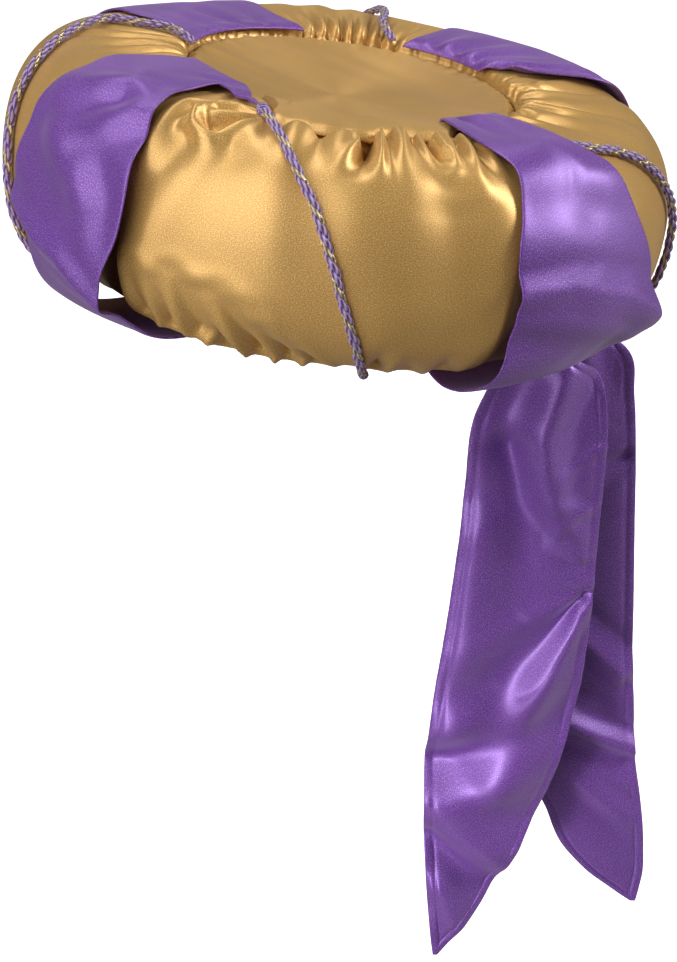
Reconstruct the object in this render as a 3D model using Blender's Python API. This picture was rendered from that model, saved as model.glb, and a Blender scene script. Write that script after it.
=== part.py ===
"""A padded satin turban: a stuffed gold roll with a flat crown sewn into it,
four loose purple bands wrapped over the roll, four trim cords and two tails.

Metres, +Z up. The wearer faces -Y and the wearer's left is +X. The origin is the
middle of the head opening, on the plane of the roll's underside. Everything but
the tails is drawn square to the roll and then tipped as the hat is worn. Azimuths
start at the wearer's front and grow towards the wearer's left. A section angle
goes round the roll's thickness: 0 is its outermost line, 90 its top, 180 the
inner wall that meets the head, and -90 its underside.
"""
import math
from collections import namedtuple

import bmesh
import bpy
from mathutils import Euler, Vector

MM = 0.001

# How the hat sits: tipped towards the back and towards the wearer's left
TIP_BACK = 9.24
TIP_LEFT = 6.39
WORN_TILT = (math.radians(-TIP_BACK), math.radians(TIP_LEFT), 0)

# The stuffed roll
ROLL_RADIUS = 110 * MM
ROLL_HALF_HEIGHT = 48 * MM
ROLL_OUTER_HALF_WIDTH = 39.5 * MM
ROLL_INNER_HALF_WIDTH = 29.5 * MM
INNER_WALL_LEAN = 12.5 * MM
OUTER_ROUNDNESS = 2.3
SHOULDER_ROUNDNESS = 7.0
UNDERSIDE_ROUNDNESS = 3.0
ROLL_STEPS_AROUND = 120
ROLL_STEPS_THROUGH = 20

# Cloth, and the seams that hold it
SATIN_WALL = 1.5 * MM
CROWN_RADIUS = 71.7 * MM
CROWN_HEIGHT = 90.6 * MM
CROWN_SAG = 4 * MM
CROWN_STEPS_AROUND = 48
CROWN_RINGS = 4
BAND_BULGE = 0.8 * MM
BAND_COLUMNS = 4
BAND_STEPS_PER_ROW = 2

# Trim cord
CORD_RADIUS = 2.2 * MM
CORD_SEAT = CORD_RADIUS + 0.8 * MM
CORD_POINT_SPACING = 11 * MM

# Tails: which way their flat side faces, and the cloth's folds
TAIL_FACING = 20.0
TAIL_WALL = 1.6 * MM
TAIL_COLUMNS = 6
TAIL_STEPS_PER_ROW = 2

# Where the bands cross it, the roll is pressed in a little all over, and drawn in more
# below its outer line, so that it has a waist there
Waist = namedtuple("Waist", "azimuth half_width pressed flat reach depth")
WAISTS = [
    Waist(331, 30, 1.5 * MM, 5, 13, 20 * MM),
    Waist(63, 34, 1.5 * MM, 6, 17, 15 * MM),
    Waist(150, 34, 0, 8, 22, 14 * MM),
    Waist(245, 44, 5 * MM, 8, 19, 15 * MM),
]
WAIST_DEEPEST = -15
WAIST_REACH = 85
PRESSED_TOP = 132
PRESSED_UNDERSIDE = -106
PRESSED_FADE = 30

# Gathers run out from the crown seam over the top, and in under the roll
Pleat = namedtuple("Pleat", "azimuth half_width depth deepest reach")
TOP_PLEATS = [
    Pleat(353, 6.0, 8.0 * MM, 82, 34),
    Pleat(10, 5.0, 5.5 * MM, 88, 34),
    Pleat(17, 4.5, 3.5 * MM, 90, 30),
    Pleat(23, 5.0, 8.5 * MM, 84, 44),
    Pleat(31, 4.5, 4.0 * MM, 88, 32),
    Pleat(38, 5.0, 6.0 * MM, 85, 36),
    Pleat(45, 4.5, 5.5 * MM, 80, 36),
    Pleat(84, 4.5, 4.0 * MM, 92, 40),
    Pleat(93, 4.5, 4.5 * MM, 94, 40),
    Pleat(102, 5.0, 6.0 * MM, 96, 42),
    Pleat(111, 5.0, 7.0 * MM, 98, 42),
    Pleat(120, 5.0, 6.0 * MM, 98, 38),
    Pleat(182, 4.5, 5.0 * MM, 92, 38),
    Pleat(198, 4.5, 6.0 * MM, 92, 40),
    Pleat(205, 4.5, 7.0 * MM, 92, 40),
    Pleat(213, 4.5, 5.5 * MM, 92, 38),
    Pleat(273, 4.5, 4.5 * MM, 94, 40),
    Pleat(292, 5.0, 6.0 * MM, 96, 44),
    Pleat(301, 5.0, 5.5 * MM, 94, 42),
    Pleat(310, 4.5, 4.5 * MM, 92, 40),
]
UNDER_PLEATS = [
    Pleat(351, 4.5, 4.5 * MM, -64, 32),
    Pleat(359, 4.5, 6.0 * MM, -58, 32),
    Pleat(7, 5.0, 7.0 * MM, -58, 36),
    Pleat(15, 4.5, 3.5 * MM, -66, 28),
    Pleat(22, 4.5, 2.5 * MM, -72, 28),
    Pleat(32, 4.5, 5.5 * MM, -72, 30),
    Pleat(40, 4.5, 2.5 * MM, -74, 28),
    Pleat(84, 4.5, 5.0 * MM, -68, 34),
    Pleat(94, 4.5, 6.0 * MM, -68, 34),
    Pleat(105, 4.5, 5.0 * MM, -66, 34),
    Pleat(116, 4.5, 6.0 * MM, -68, 34),
    Pleat(125, 4.5, 5.0 * MM, -68, 34),
    Pleat(180, 4.5, 5.0 * MM, -68, 34),
    Pleat(189, 4.5, 6.0 * MM, -68, 34),
    Pleat(199, 4.5, 5.0 * MM, -66, 34),
    Pleat(209, 4.5, 6.0 * MM, -68, 34),
    Pleat(218, 4.5, 5.0 * MM, -68, 34),
    Pleat(272, 4.5, 5.0 * MM, -68, 34),
    Pleat(281, 4.5, 6.0 * MM, -68, 34),
    Pleat(290, 4.5, 5.0 * MM, -66, 34),
    Pleat(299, 4.5, 6.0 * MM, -68, 34),
    Pleat(308, 4.5, 5.0 * MM, -68, 34),
]

# A wrap band by rows across it, from the crown seam over the roll to the seam below.
# start and end are its two edges' azimuths, and the lifts how far each stands off
BandRow = namedtuple("BandRow", "section start end start_lift end_lift")
WRAP_BANDS = {
    "wrap_band_front": [
        BandRow(132, 314, 339, 0.6 * MM, 0.6 * MM),
        BandRow(112, 316, 347, 1.5 * MM, 1.5 * MM),
        BandRow(92, 317, 351, 2.5 * MM, 2.5 * MM),
        BandRow(75, 318, 347, 3.0 * MM, 4.0 * MM),
        BandRow(58, 318, 345, 3.0 * MM, 5.0 * MM),
        BandRow(38, 316, 344, 3.0 * MM, 6.0 * MM),
        BandRow(18, 315, 345, 3.0 * MM, 7.0 * MM),
        BandRow(-2, 315, 345, 2.5 * MM, 9.0 * MM),
        BandRow(-22, 316, 343, 2.0 * MM, 12.0 * MM),
        BandRow(-42, 319, 343, 7.5 * MM, 11.5 * MM),
        BandRow(-62, 322, 346, 8.0 * MM, 7.0 * MM),
        BandRow(-84, 325, 350, 5.5 * MM, 4.0 * MM),
        BandRow(-106, 328, 354, 0.8 * MM, 0.8 * MM),
    ],
    "wrap_band_left": [
        BandRow(132, 49, 78, 0.6 * MM, 0.6 * MM),
        BandRow(112, 47, 70, 1.5 * MM, 2.5 * MM),
        BandRow(92, 45, 65, 2.0 * MM, 5.5 * MM),
        BandRow(75, 46, 65, 3.0 * MM, 6.5 * MM),
        BandRow(58, 48, 69, 3.0 * MM, 6.0 * MM),
        BandRow(38, 48, 73, 3.0 * MM, 5.0 * MM),
        BandRow(18, 47, 76, 3.0 * MM, 5.0 * MM),
        BandRow(-2, 48, 79, 3.5 * MM, 7.0 * MM),
        BandRow(-22, 49, 82, 5.0 * MM, 12.0 * MM),
        BandRow(-42, 49, 78, 7.0 * MM, 5.0 * MM),
        BandRow(-62, 48, 77, 8.5 * MM, 4.0 * MM),
        BandRow(-84, 46, 76, 7.5 * MM, 4.0 * MM),
        BandRow(-106, 45, 74, 0.8 * MM, 0.8 * MM),
    ],
    "wrap_band_back": [
        BandRow(132, 144, 180, 0.6 * MM, 0.6 * MM),
        BandRow(112, 140, 177, 2.5 * MM, 1.0 * MM),
        BandRow(92, 128, 175, 3.0 * MM, 0.8 * MM),
        BandRow(75, 127, 173, 3.0 * MM, 0.8 * MM),
        BandRow(58, 129, 171, 3.0 * MM, 1.0 * MM),
        BandRow(38, 131, 169, 3.0 * MM, 2.0 * MM),
        BandRow(18, 133, 167, 3.0 * MM, 3.0 * MM),
        BandRow(-2, 134, 165, 4.0 * MM, 4.0 * MM),
        BandRow(-22, 135, 165, 6.0 * MM, 6.0 * MM),
        BandRow(-42, 136, 165, 8.0 * MM, 8.0 * MM),
        BandRow(-62, 136, 165, 8.0 * MM, 8.0 * MM),
        BandRow(-84, 137, 165, 5.0 * MM, 5.0 * MM),
        BandRow(-106, 138, 165, 0.8 * MM, 0.8 * MM),
    ],
    "wrap_band_right": [
        BandRow(132, 217, 282, 0.6 * MM, 0.6 * MM),
        BandRow(112, 220, 275, 0.6 * MM, 0.6 * MM),
        BandRow(92, 223, 268, 0.6 * MM, 0.6 * MM),
        BandRow(75, 225, 264, 0.8 * MM, 0.8 * MM),
        BandRow(58, 227, 262, 1.0 * MM, 1.0 * MM),
        BandRow(38, 228, 260, 2.0 * MM, 2.0 * MM),
        BandRow(18, 229, 259, 3.0 * MM, 3.0 * MM),
        BandRow(-2, 229, 259, 5.0 * MM, 5.0 * MM),
        BandRow(-22, 229, 259, 7.0 * MM, 7.0 * MM),
        BandRow(-42, 229, 259, 9.0 * MM, 9.0 * MM),
        BandRow(-62, 230, 258, 8.0 * MM, 8.0 * MM),
        BandRow(-84, 231, 257, 5.0 * MM, 5.0 * MM),
        BandRow(-106, 232, 256, 0.8 * MM, 0.8 * MM),
    ],
}

# Each trim cord lies on the gold, from beside one band's seam end down to the underside
CordPoint = namedtuple("CordPoint", "azimuth section")
TRIM_CORDS = {
    "trim_cord_front": [
        CordPoint(-0.5, 87), CordPoint(2, 79), CordPoint(6, 64), CordPoint(10, 46), CordPoint(14, 28),
        CordPoint(17, 10), CordPoint(20, -6), CordPoint(23.5, -30), CordPoint(26, -54), CordPoint(28, -76),
    ],
    "trim_cord_left": [
        CordPoint(62, 92), CordPoint(66, 83), CordPoint(72, 74), CordPoint(79, 65), CordPoint(85, 52),
        CordPoint(89, 38), CordPoint(94, 18), CordPoint(97, 0), CordPoint(99, -22), CordPoint(103, -48),
        CordPoint(106, -70),
    ],
    "trim_cord_back": [
        CordPoint(184, 128), CordPoint(187, 112), CordPoint(190, 96), CordPoint(192, 80), CordPoint(195, 60),
        CordPoint(199, 36), CordPoint(203, 10), CordPoint(207, -14), CordPoint(211, -40), CordPoint(214, -64),
        CordPoint(216, -80),
    ],
    "trim_cord_right": [
        CordPoint(287, 128), CordPoint(284, 112), CordPoint(281, 100), CordPoint(282, 92), CordPoint(288, 84),
        CordPoint(296, 71), CordPoint(302, 54), CordPoint(305.5, 34), CordPoint(308, 12), CordPoint(310, -4),
        CordPoint(311.5, -22), CordPoint(312.5, -44), CordPoint(313, -64), CordPoint(313, -78),
    ],
}

# Each tail is sewn under the roll between two azimuths
TAIL_SEAM_SECTION = -104
TAIL_SEAM_LIFT = 0.5 * MM
TAIL_SEAMS = {"tail_front": (96, 113), "tail_back": (118, 133)}

# A tail by rows down it, in millimetres: height, its two edges across the way that it
# faces, how far behind the origin each edge hangs, and how far its middle bows forwards
TailRow = namedtuple("TailRow", "height left right left_back right_back bow")
TAILS = {
    "tail_front": [
        TailRow(-34, 88, 112, -19, 0, 1),
        TailRow(-54, 79, 131, -9, -2, 4),
        TailRow(-80, 71, 136, -3, -2, 6),
        TailRow(-115, 69, 136, 0, 0, 7),
        TailRow(-150, 66, 135, 1, 1, 6),
        TailRow(-190, 62, 134, 1, 1, 6),
        TailRow(-230, 57, 131, 1, 1, 6),
        TailRow(-268, 53.5, 125, 1, 1, 6),
        TailRow(-304, 52.5, 115, 1, 1, 5),
        TailRow(-336, 53.5, 102, 1, 1, 4),
        TailRow(-366, 55.5, 88, 1, 1, 3),
        TailRow(-392, 57.5, 73, 1, 1, 1),
        TailRow(-409, 59.5, 61.5, 1, 1, 0),
    ],
    "tail_back": [
        TailRow(-36, 94, 110, 22, 36, 1),
        TailRow(-56, 91, 147, 30, 34, 4),
        TailRow(-84, 92, 153, 34, 36, 6),
        TailRow(-120, 92, 156, 36, 37, 6),
        TailRow(-160, 91, 158, 37, 38, 6),
        TailRow(-200, 90, 160, 38, 38, 6),
        TailRow(-240, 90, 162, 39, 39, 6),
        TailRow(-276, 95, 165, 39, 39, 6),
        TailRow(-306, 104, 167.5, 39, 39, 5),
        TailRow(-334, 119, 172, 39, 39, 4),
        TailRow(-360, 129, 175, 39, 39, 3),
        TailRow(-382, 146, 176, 39, 39, 1),
        TailRow(-403, 171, 173, 39, 39, 0),
    ],
}


def clear_scene():
    for thing in list(bpy.data.objects):
        bpy.data.objects.remove(thing)


def satin(name, colour, roughness):
    material = bpy.data.materials.new(name)
    material.use_nodes = True
    surface = material.node_tree.nodes["Principled BSDF"]
    surface.inputs["Base Color"].default_value = (*colour, 1.0)
    surface.inputs["Roughness"].default_value = roughness
    surface.inputs["Metallic"].default_value = 0.0
    return material


def hump(offset):
    """1 at no offset, falling smoothly to 0 at an offset of 1 either way."""
    if abs(offset) >= 1:
        return 0.0
    return 0.5 + 0.5 * math.cos(math.pi * offset)


def turn_between(azimuth, other):
    """The shorter turn from one azimuth to another, in degrees."""
    return (azimuth - other + 180) % 360 - 180


def rounded(value, roundness):
    return math.copysign(abs(value) ** (2 / roundness), value)


def section_point(section):
    """Radius and height of the roll's full round form at a section angle."""
    turn = math.radians(section)
    outwards, upwards = math.cos(turn), math.sin(turn)
    if outwards >= 0:
        roundness = OUTER_ROUNDNESS
    elif upwards >= 0:
        roundness = SHOULDER_ROUNDNESS
    else:
        roundness = UNDERSIDE_ROUNDNESS
    rise = rounded(upwards, roundness)
    half_width = ROLL_OUTER_HALF_WIDTH
    if outwards < 0:
        half_width = ROLL_INNER_HALF_WIDTH + INNER_WALL_LEAN * rise
    return Vector((ROLL_RADIUS + half_width * rounded(outwards, roundness), rise * ROLL_HALF_HEIGHT))


def section_normal(section):
    along = section_point(section + 0.5) - section_point(section - 0.5)
    return Vector((along.y, -along.x)).normalized()


def turned_out(azimuth, radius, height):
    turn = math.radians(azimuth)
    return Vector((radius * math.sin(turn), -radius * math.cos(turn), height + ROLL_HALF_HEIGHT))


def ramp(value):
    """0 up to no value, rising smoothly to 1 at a value of 1 and beyond."""
    return 1 - hump(min(max(value, 0.0), 1.0))


def pressed_in(azimuth, section):
    """How far the bands press the roll in, between the seams that hold them."""
    between = ramp((PRESSED_TOP - section) / PRESSED_FADE) * ramp((section - PRESSED_UNDERSIDE) / PRESSED_FADE)
    presses = [w.pressed * hump(turn_between(azimuth, w.azimuth) / w.half_width) for w in WAISTS]
    return between * max(presses)


def waisted_in(azimuth, section):
    """How far the bands draw the roll in from its full round form, waists and all."""
    depth = pressed_in(azimuth, section)
    for waist in WAISTS:
        beyond_flat = max(0, abs(turn_between(azimuth, waist.azimuth)) - waist.flat)
        share = hump(beyond_flat / (waist.reach - waist.flat))
        depth = max(depth, waist.depth * share * hump((section - WAIST_DEEPEST) / WAIST_REACH))
    return depth


def gathered_in(azimuth, section):
    """How far the gathers in the cover draw it in as well."""
    depth = 0.0
    for pleat in TOP_PLEATS + UNDER_PLEATS:
        share = hump(turn_between(azimuth, pleat.azimuth) / pleat.half_width)
        depth += pleat.depth * share * hump((section - pleat.deepest) / pleat.reach)
    return depth


def drawn_form(section, depth):
    """The roll's form at a section angle, drawn in by depth towards the section's middle."""
    middle = Vector((ROLL_RADIUS, 0))
    reach = section_point(section) - middle
    return middle + reach * (1 - depth / reach.length)


def roll_surface(azimuth, section):
    """A point on the stuffed roll."""
    spot = drawn_form(section, waisted_in(azimuth, section) + gathered_in(azimuth, section))
    return turned_out(azimuth, spot.x, spot.y)


def over_roll(azimuth, section, lift, settled_in=pressed_in):
    """A point that stands by lift off the roll's form, which is drawn in as settled_in says."""
    spot = drawn_form(section, settled_in(azimuth, section)) + section_normal(section) * lift
    return turned_out(azimuth, spot.x, spot.y)


def worn(point):
    """The place of a point of the upright hat once the hat is tipped as it is worn."""
    return Euler(WORN_TILT).to_matrix() @ point


def smooth_between(before, first, last, after, share):
    """A smooth value between first and last, that passes on towards their neighbours."""
    square, cube = share * share, share * share * share
    return 0.5 * (
        2 * first
        + (last - before) * share
        + (2 * before - 5 * first + 4 * last - after) * square
        + (3 * first - before - 3 * last + after) * cube
    )


def smooth_rows(rows, steps):
    """The rows of a table with smooth ones added, so that each gap has so many steps."""
    kind = type(rows[0])
    ends = [rows[0], *rows, rows[-1]]
    smooth = []
    for before, first, last, after in zip(ends, ends[1:], ends[2:], ends[3:]):
        for step in range(steps):
            share = step / steps
            values = [smooth_between(*four, share) for four in zip(before, first, last, after)]
            smooth.append(kind(*values))
    smooth.append(rows[-1])
    return smooth


def finish(name, data, material, parent=None):
    """The named object for a piece, in its material, on what carries its place."""
    piece = bpy.data.objects.new(name, data)
    bpy.context.scene.collection.objects.link(piece)
    data.materials.append(material)
    piece.parent = parent
    if isinstance(data, bpy.types.Mesh):
        data.shade_smooth()
    return piece


def grid_faces(shape, rows, wrap_rows=False, wrap_columns=False):
    """Quads over a grid of vertices, joined end to start where it wraps round."""
    row_count, column_count = len(rows), len(rows[0])
    for row in range(row_count if wrap_rows else row_count - 1):
        for column in range(column_count if wrap_columns else column_count - 1):
            below = rows[(row + 1) % row_count]
            beside = (column + 1) % column_count
            shape.faces.new((rows[row][column], rows[row][beside], below[beside], below[column]))


def mesh_from(shape, name):
    bmesh.ops.recalc_face_normals(shape, faces=shape.faces)
    data = bpy.data.meshes.new(name)
    shape.to_mesh(data)
    shape.free()
    return data


def cloth_wall(name, outer, inner):
    """A closed wall of cloth between two grids of points, with its four cut edges."""
    shape = bmesh.new()
    outer = [[shape.verts.new(point) for point in row] for row in outer]
    inner = [[shape.verts.new(point) for point in row] for row in inner]
    grid_faces(shape, outer)
    grid_faces(shape, inner)
    for outer_edge, inner_edge in (
        (outer[0], inner[0]),
        (outer[-1], inner[-1]),
        ([row[0] for row in outer], [row[0] for row in inner]),
        ([row[-1] for row in outer], [row[-1] for row in inner]),
    ):
        grid_faces(shape, [outer_edge, inner_edge])
    return mesh_from(shape, name)


def make_roll(material, parent):
    """The stuffed roll, a closed ring with the waists and gathers in its cover."""
    shape = bmesh.new()
    rings = []
    for step in range(ROLL_STEPS_AROUND):
        azimuth = 360 * step / ROLL_STEPS_AROUND
        sections = [360 * turn / ROLL_STEPS_THROUGH for turn in range(ROLL_STEPS_THROUGH)]
        rings.append([shape.verts.new(roll_surface(azimuth, (s + 180) % 360 - 180)) for s in sections])
    grid_faces(shape, rings, wrap_rows=True, wrap_columns=True)
    return finish("padded_roll", mesh_from(shape, "padded_roll"), material, parent)


def make_crown(material, parent):
    """The flat crown: one round of satin inside the roll's shoulder, sagging a little."""
    shape = bmesh.new()
    sides = []
    for wall in (0, SATIN_WALL):
        rings = []
        for ring in range(1, CROWN_RINGS + 1):
            share = ring / CROWN_RINGS
            height = CROWN_HEIGHT - wall - CROWN_SAG * (1 - share**2)
            turns = [2 * math.pi * step / CROWN_STEPS_AROUND for step in range(CROWN_STEPS_AROUND)]
            radius = CROWN_RADIUS * share
            rings.append([
                shape.verts.new((radius * math.cos(turn), radius * math.sin(turn), height)) for turn in turns
            ])
        grid_faces(shape, rings, wrap_columns=True)
        middle = shape.verts.new((0, 0, CROWN_HEIGHT - wall - CROWN_SAG))
        for step in range(CROWN_STEPS_AROUND):
            shape.faces.new((middle, rings[0][step], rings[0][(step + 1) % CROWN_STEPS_AROUND]))
        sides.append(rings[-1])
    grid_faces(shape, sides, wrap_columns=True)
    return finish("crown_disc", mesh_from(shape, "crown_disc"), material, parent)


def make_wrap_band(name, rows, material, parent):
    """A band of satin sewn in at the crown, laid over the roll and sewn in below it."""
    outer, inner = [], []
    for row in smooth_rows(rows, BAND_STEPS_PER_ROW):
        outer_points, inner_points = [], []
        for column in range(BAND_COLUMNS + 1):
            share = column / BAND_COLUMNS
            azimuth = row.start + (row.end - row.start) * share
            lift = row.start_lift + (row.end_lift - row.start_lift) * share
            lift += BAND_BULGE * (1 - (2 * share - 1) ** 2)
            inner_points.append(over_roll(azimuth, row.section, lift))
            outer_points.append(over_roll(azimuth, row.section, lift + SATIN_WALL))
        outer.append(outer_points)
        inner.append(inner_points)
    return finish(name, cloth_wall(name, outer, inner), material, parent)


def make_trim_cord(name, route, material, parent):
    """A twisted cord that lies on the gold, as a tube along its whole route."""
    fine = [over_roll(spot.azimuth, spot.section, CORD_SEAT, waisted_in) for spot in smooth_rows(route, 12)]
    points = [fine[0]]
    for spot in fine[1:-1]:
        if (spot - points[-1]).length >= CORD_POINT_SPACING:
            points.append(spot)
    if (fine[-1] - points[-1]).length < CORD_POINT_SPACING / 2:
        points.pop()
    points.append(fine[-1])
    curve = bpy.data.curves.new(name, "CURVE")
    curve.dimensions = "3D"
    curve.bevel_depth = CORD_RADIUS
    curve.bevel_resolution = 2
    curve.use_fill_caps = True
    spline = curve.splines.new("POLY")
    spline.points.add(len(points) - 1)
    for target, point in zip(spline.points, points):
        target.co = (*point, 1.0)
    return finish(name, curve, material, parent)


def make_tail(name, rows, material):
    """A pointed tail of doubled satin, sewn under the roll and hanging straight down."""
    facing = math.radians(TAIL_FACING)
    across = Vector((math.cos(facing), math.sin(facing), 0))
    behind = Vector((-math.sin(facing), math.cos(facing), 0))
    seam = [worn(over_roll(azimuth, TAIL_SEAM_SECTION, TAIL_SEAM_LIFT)) for azimuth in TAIL_SEAMS[name]]
    edges = [(*seam, 0)]
    for row in smooth_rows(rows, TAIL_STEPS_PER_ROW):
        drop = Vector((0, 0, row.height))
        left = across * row.left + behind * row.left_back + drop
        right = across * row.right + behind * row.right_back + drop
        edges.append((left * MM, right * MM, row.bow * MM))
    front, back = [], []
    for left, right, bow in edges:
        flat = (right - left).cross(Vector((0, 0, 1))).normalized()
        front_points, back_points = [], []
        for column in range(TAIL_COLUMNS + 1):
            share = column / TAIL_COLUMNS
            spot = left.lerp(right, share) + flat * bow * (1 - (2 * share - 1) ** 2)
            front_points.append(spot + flat * TAIL_WALL / 2)
            back_points.append(spot - flat * TAIL_WALL / 2)
        front.append(front_points)
        back.append(back_points)
    return finish(name, cloth_wall(name, front, back), material)


def build():
    clear_scene()
    gold = satin("gold_satin", (0.56, 0.30, 0.07), 0.34)
    purple = satin("purple_satin", (0.16, 0.04, 0.32), 0.42)
    twist = satin("twisted_trim", (0.30, 0.16, 0.34), 0.45)

    worn_tilt = bpy.data.objects.new("worn_tilt", None)
    bpy.context.scene.collection.objects.link(worn_tilt)
    worn_tilt.rotation_euler = WORN_TILT

    make_roll(gold, worn_tilt)
    make_crown(gold, worn_tilt)
    for name, rows in WRAP_BANDS.items():
        make_wrap_band(name, rows, purple, worn_tilt)
    for name, route in TRIM_CORDS.items():
        make_trim_cord(name, route, twist, worn_tilt)
    for name, rows in TAILS.items():
        make_tail(name, rows, purple)


build()
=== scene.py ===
"""A padded satin turban hat: a stuffed gold roll, a flat crown sewn into it, four
loose purple bands, four twisted trim cords and two hanging tails.

Metres, +Z up. The wearer faces -Y and the wearer's left is +X. Azimuths start at
the wearer's front and grow towards the wearer's left. A section angle goes round the
roll's thickness: 0 its outermost line, 90 its top, 180 its inner wall.
"""
import math
from collections import namedtuple

import bpy
import numpy as np
from mathutils import Euler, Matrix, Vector


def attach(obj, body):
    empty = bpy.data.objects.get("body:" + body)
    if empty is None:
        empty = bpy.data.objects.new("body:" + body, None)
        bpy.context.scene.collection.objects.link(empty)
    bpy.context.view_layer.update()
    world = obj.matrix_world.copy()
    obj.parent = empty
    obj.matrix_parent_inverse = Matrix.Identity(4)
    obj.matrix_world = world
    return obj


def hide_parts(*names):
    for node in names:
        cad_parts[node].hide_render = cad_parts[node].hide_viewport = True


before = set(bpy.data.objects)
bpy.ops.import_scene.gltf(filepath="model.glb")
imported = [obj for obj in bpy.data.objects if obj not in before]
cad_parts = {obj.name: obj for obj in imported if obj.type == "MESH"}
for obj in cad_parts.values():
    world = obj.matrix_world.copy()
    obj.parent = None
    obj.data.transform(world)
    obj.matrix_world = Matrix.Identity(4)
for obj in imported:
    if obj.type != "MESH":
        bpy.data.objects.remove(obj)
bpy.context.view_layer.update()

# The hat hangs as it is worn over a plain pale floor, in soft studio light: a broad
# softbox high at the camera's left, smaller ones at the right and overhead, and a low
# spot that reaches the tails.
MM = 0.001
FLOOR_HEIGHT = -440 * MM
FLOOR_GLOW = 0.8
TAIL_SPOT_PLACE = (-0.45, -1.35, -0.25)
TAIL_SPOT_AIM = (0.11, 0, -0.31)

bpy.ops.object.select_all(action="DESELECT")
bpy.ops.mesh.primitive_plane_add(size=14, location=(0, 0, FLOOR_HEIGHT))
floor = bpy.context.object
floor.name = "studio_floor"
floor_paint = bpy.data.materials.new("floor_paint")
floor_paint.use_nodes = True
floor_surface = floor_paint.node_tree.nodes["Principled BSDF"]
floor_surface.inputs["Roughness"].default_value = 0.9
floor_surface.inputs["Specular IOR Level"].default_value = 0.1
seen_by = floor_paint.node_tree.nodes.new("ShaderNodeLightPath")
seen_light = floor_paint.node_tree.nodes.new("ShaderNodeMath")
seen_light.operation = "MULTIPLY"
seen_light.inputs[1].default_value = FLOOR_GLOW
floor_tone = floor_paint.node_tree.nodes.new("ShaderNodeMix")
floor_tone.data_type = "RGBA"
floor_tone.inputs["A"].default_value = (0.22, 0.21, 0.20, 1)
floor_tone.inputs["B"].default_value = (0.86, 0.86, 0.86, 1)
floor_paint.node_tree.links.new(seen_by.outputs["Is Camera Ray"], seen_light.inputs[0])
floor_paint.node_tree.links.new(seen_by.outputs["Is Camera Ray"], floor_tone.inputs["Factor"])
floor_paint.node_tree.links.new(floor_tone.outputs["Result"], floor_surface.inputs["Base Color"])
floor_paint.node_tree.links.new(seen_light.outputs[0], floor_surface.inputs["Emission Strength"])
floor_surface.inputs["Emission Color"].default_value = (1, 1, 1, 1)
floor.data.materials.append(floor_paint)

Softbox = namedtuple("Softbox", "name x y z size power")
SOFTBOXES = [
    Softbox("key_softbox", -0.72, -1.62, 0.90, 2.3, 48),
    Softbox("right_softbox", 1.60, 0.60, 0.95, 0.8, 30),
    Softbox("top_softbox", -0.35, 0.35, 1.75, 0.8, 11),
]
for box in SOFTBOXES:
    bpy.ops.object.light_add(type="AREA", location=(box.x, box.y, box.z))
    lamp = bpy.context.object
    lamp.name = box.name
    lamp.data.size = box.size
    lamp.data.energy = box.power
    lamp.rotation_euler = (-lamp.location).to_track_quat("-Z", "Y").to_euler()

bpy.ops.object.light_add(type="SPOT", location=TAIL_SPOT_PLACE)
tail_spot = bpy.context.object
tail_spot.name = "tail_spot"
tail_spot.data.energy = 52
tail_spot.data.spot_size = math.radians(17)
tail_spot.data.spot_blend = 0.8
tail_spot.data.shadow_soft_size = 0.15
from_tails = tail_spot.location - Vector(TAIL_SPOT_AIM)
tail_spot.rotation_euler = from_tails.to_track_quat("Z", "Y").to_euler()

world = bpy.data.worlds.new("studio_air")
world.use_nodes = True
world.node_tree.nodes["Background"].inputs["Color"].default_value = (1.0, 1.0, 1.0, 1)
world.node_tree.nodes["Background"].inputs["Strength"].default_value = 0.1
bpy.context.scene.world = world
bpy.context.scene.view_settings.view_transform = "Standard"

bpy.ops.object.camera_add(location=(0.35059, -0.93907, 0.46772))
camera = bpy.context.object
camera.name = "photo_camera"
camera.rotation_euler = (math.radians(60), 0, math.radians(20))
camera.data.lens = 90
camera.data.sensor_width = 36
bpy.context.scene.camera = camera

# The padded roll: a ring of glossy gold satin, stuffed with loose fibre. Its cover is
# gathered into the crown seam above and a seam underneath, and the wrap bands draw it
# in, so that it bulges between them.
ROLL_RADIUS = 110 * MM
ROLL_HALF_HEIGHT = 48 * MM
ROLL_OUTER_HALF_WIDTH = 39.5 * MM
ROLL_INNER_HALF_WIDTH = 29.5 * MM
INNER_WALL_LEAN = 12.5 * MM
OUTER_ROUNDNESS = 2.3
SHOULDER_ROUNDNESS = 7.0
UNDERSIDE_ROUNDNESS = 3.0
WORN_TILT = (math.radians(-9.24), math.radians(6.39), 0)
MM_PER_DEGREE = 2.0
BAND_TOP_SECTION = 132
BAND_UNDER_SECTION = -106
PRESS_FADE = 30
WAIST_MIDDLE_SECTION = -15
WAIST_HALF_SPAN = 85

Waist = namedtuple("Waist", "azimuth half_width pressed flat reach depth")
WAISTS = [
    Waist(331, 30, 1.5, 5, 13, 20),
    Waist(63, 34, 1.5, 6, 17, 15),
    Waist(150, 34, 0, 8, 22, 14),
    Waist(245, 44, 5, 8, 19, 15),
]


def hump(offset):
    """1 at no offset, falling smoothly to 0 at an offset of 1 either way."""
    return np.where(np.abs(offset) < 1, 0.5 + 0.5 * np.cos(np.pi * np.clip(offset, -1, 1)), 0.0)


def ramp(value):
    """0 up to no value, rising smoothly to 1 at a value of 1 and beyond."""
    return 1 - hump(np.clip(value, 0, 1))


def turn_between(azimuth, other):
    """The shorter turn from one azimuth to another, in degrees."""
    return (azimuth - other + 180) % 360 - 180


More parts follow.
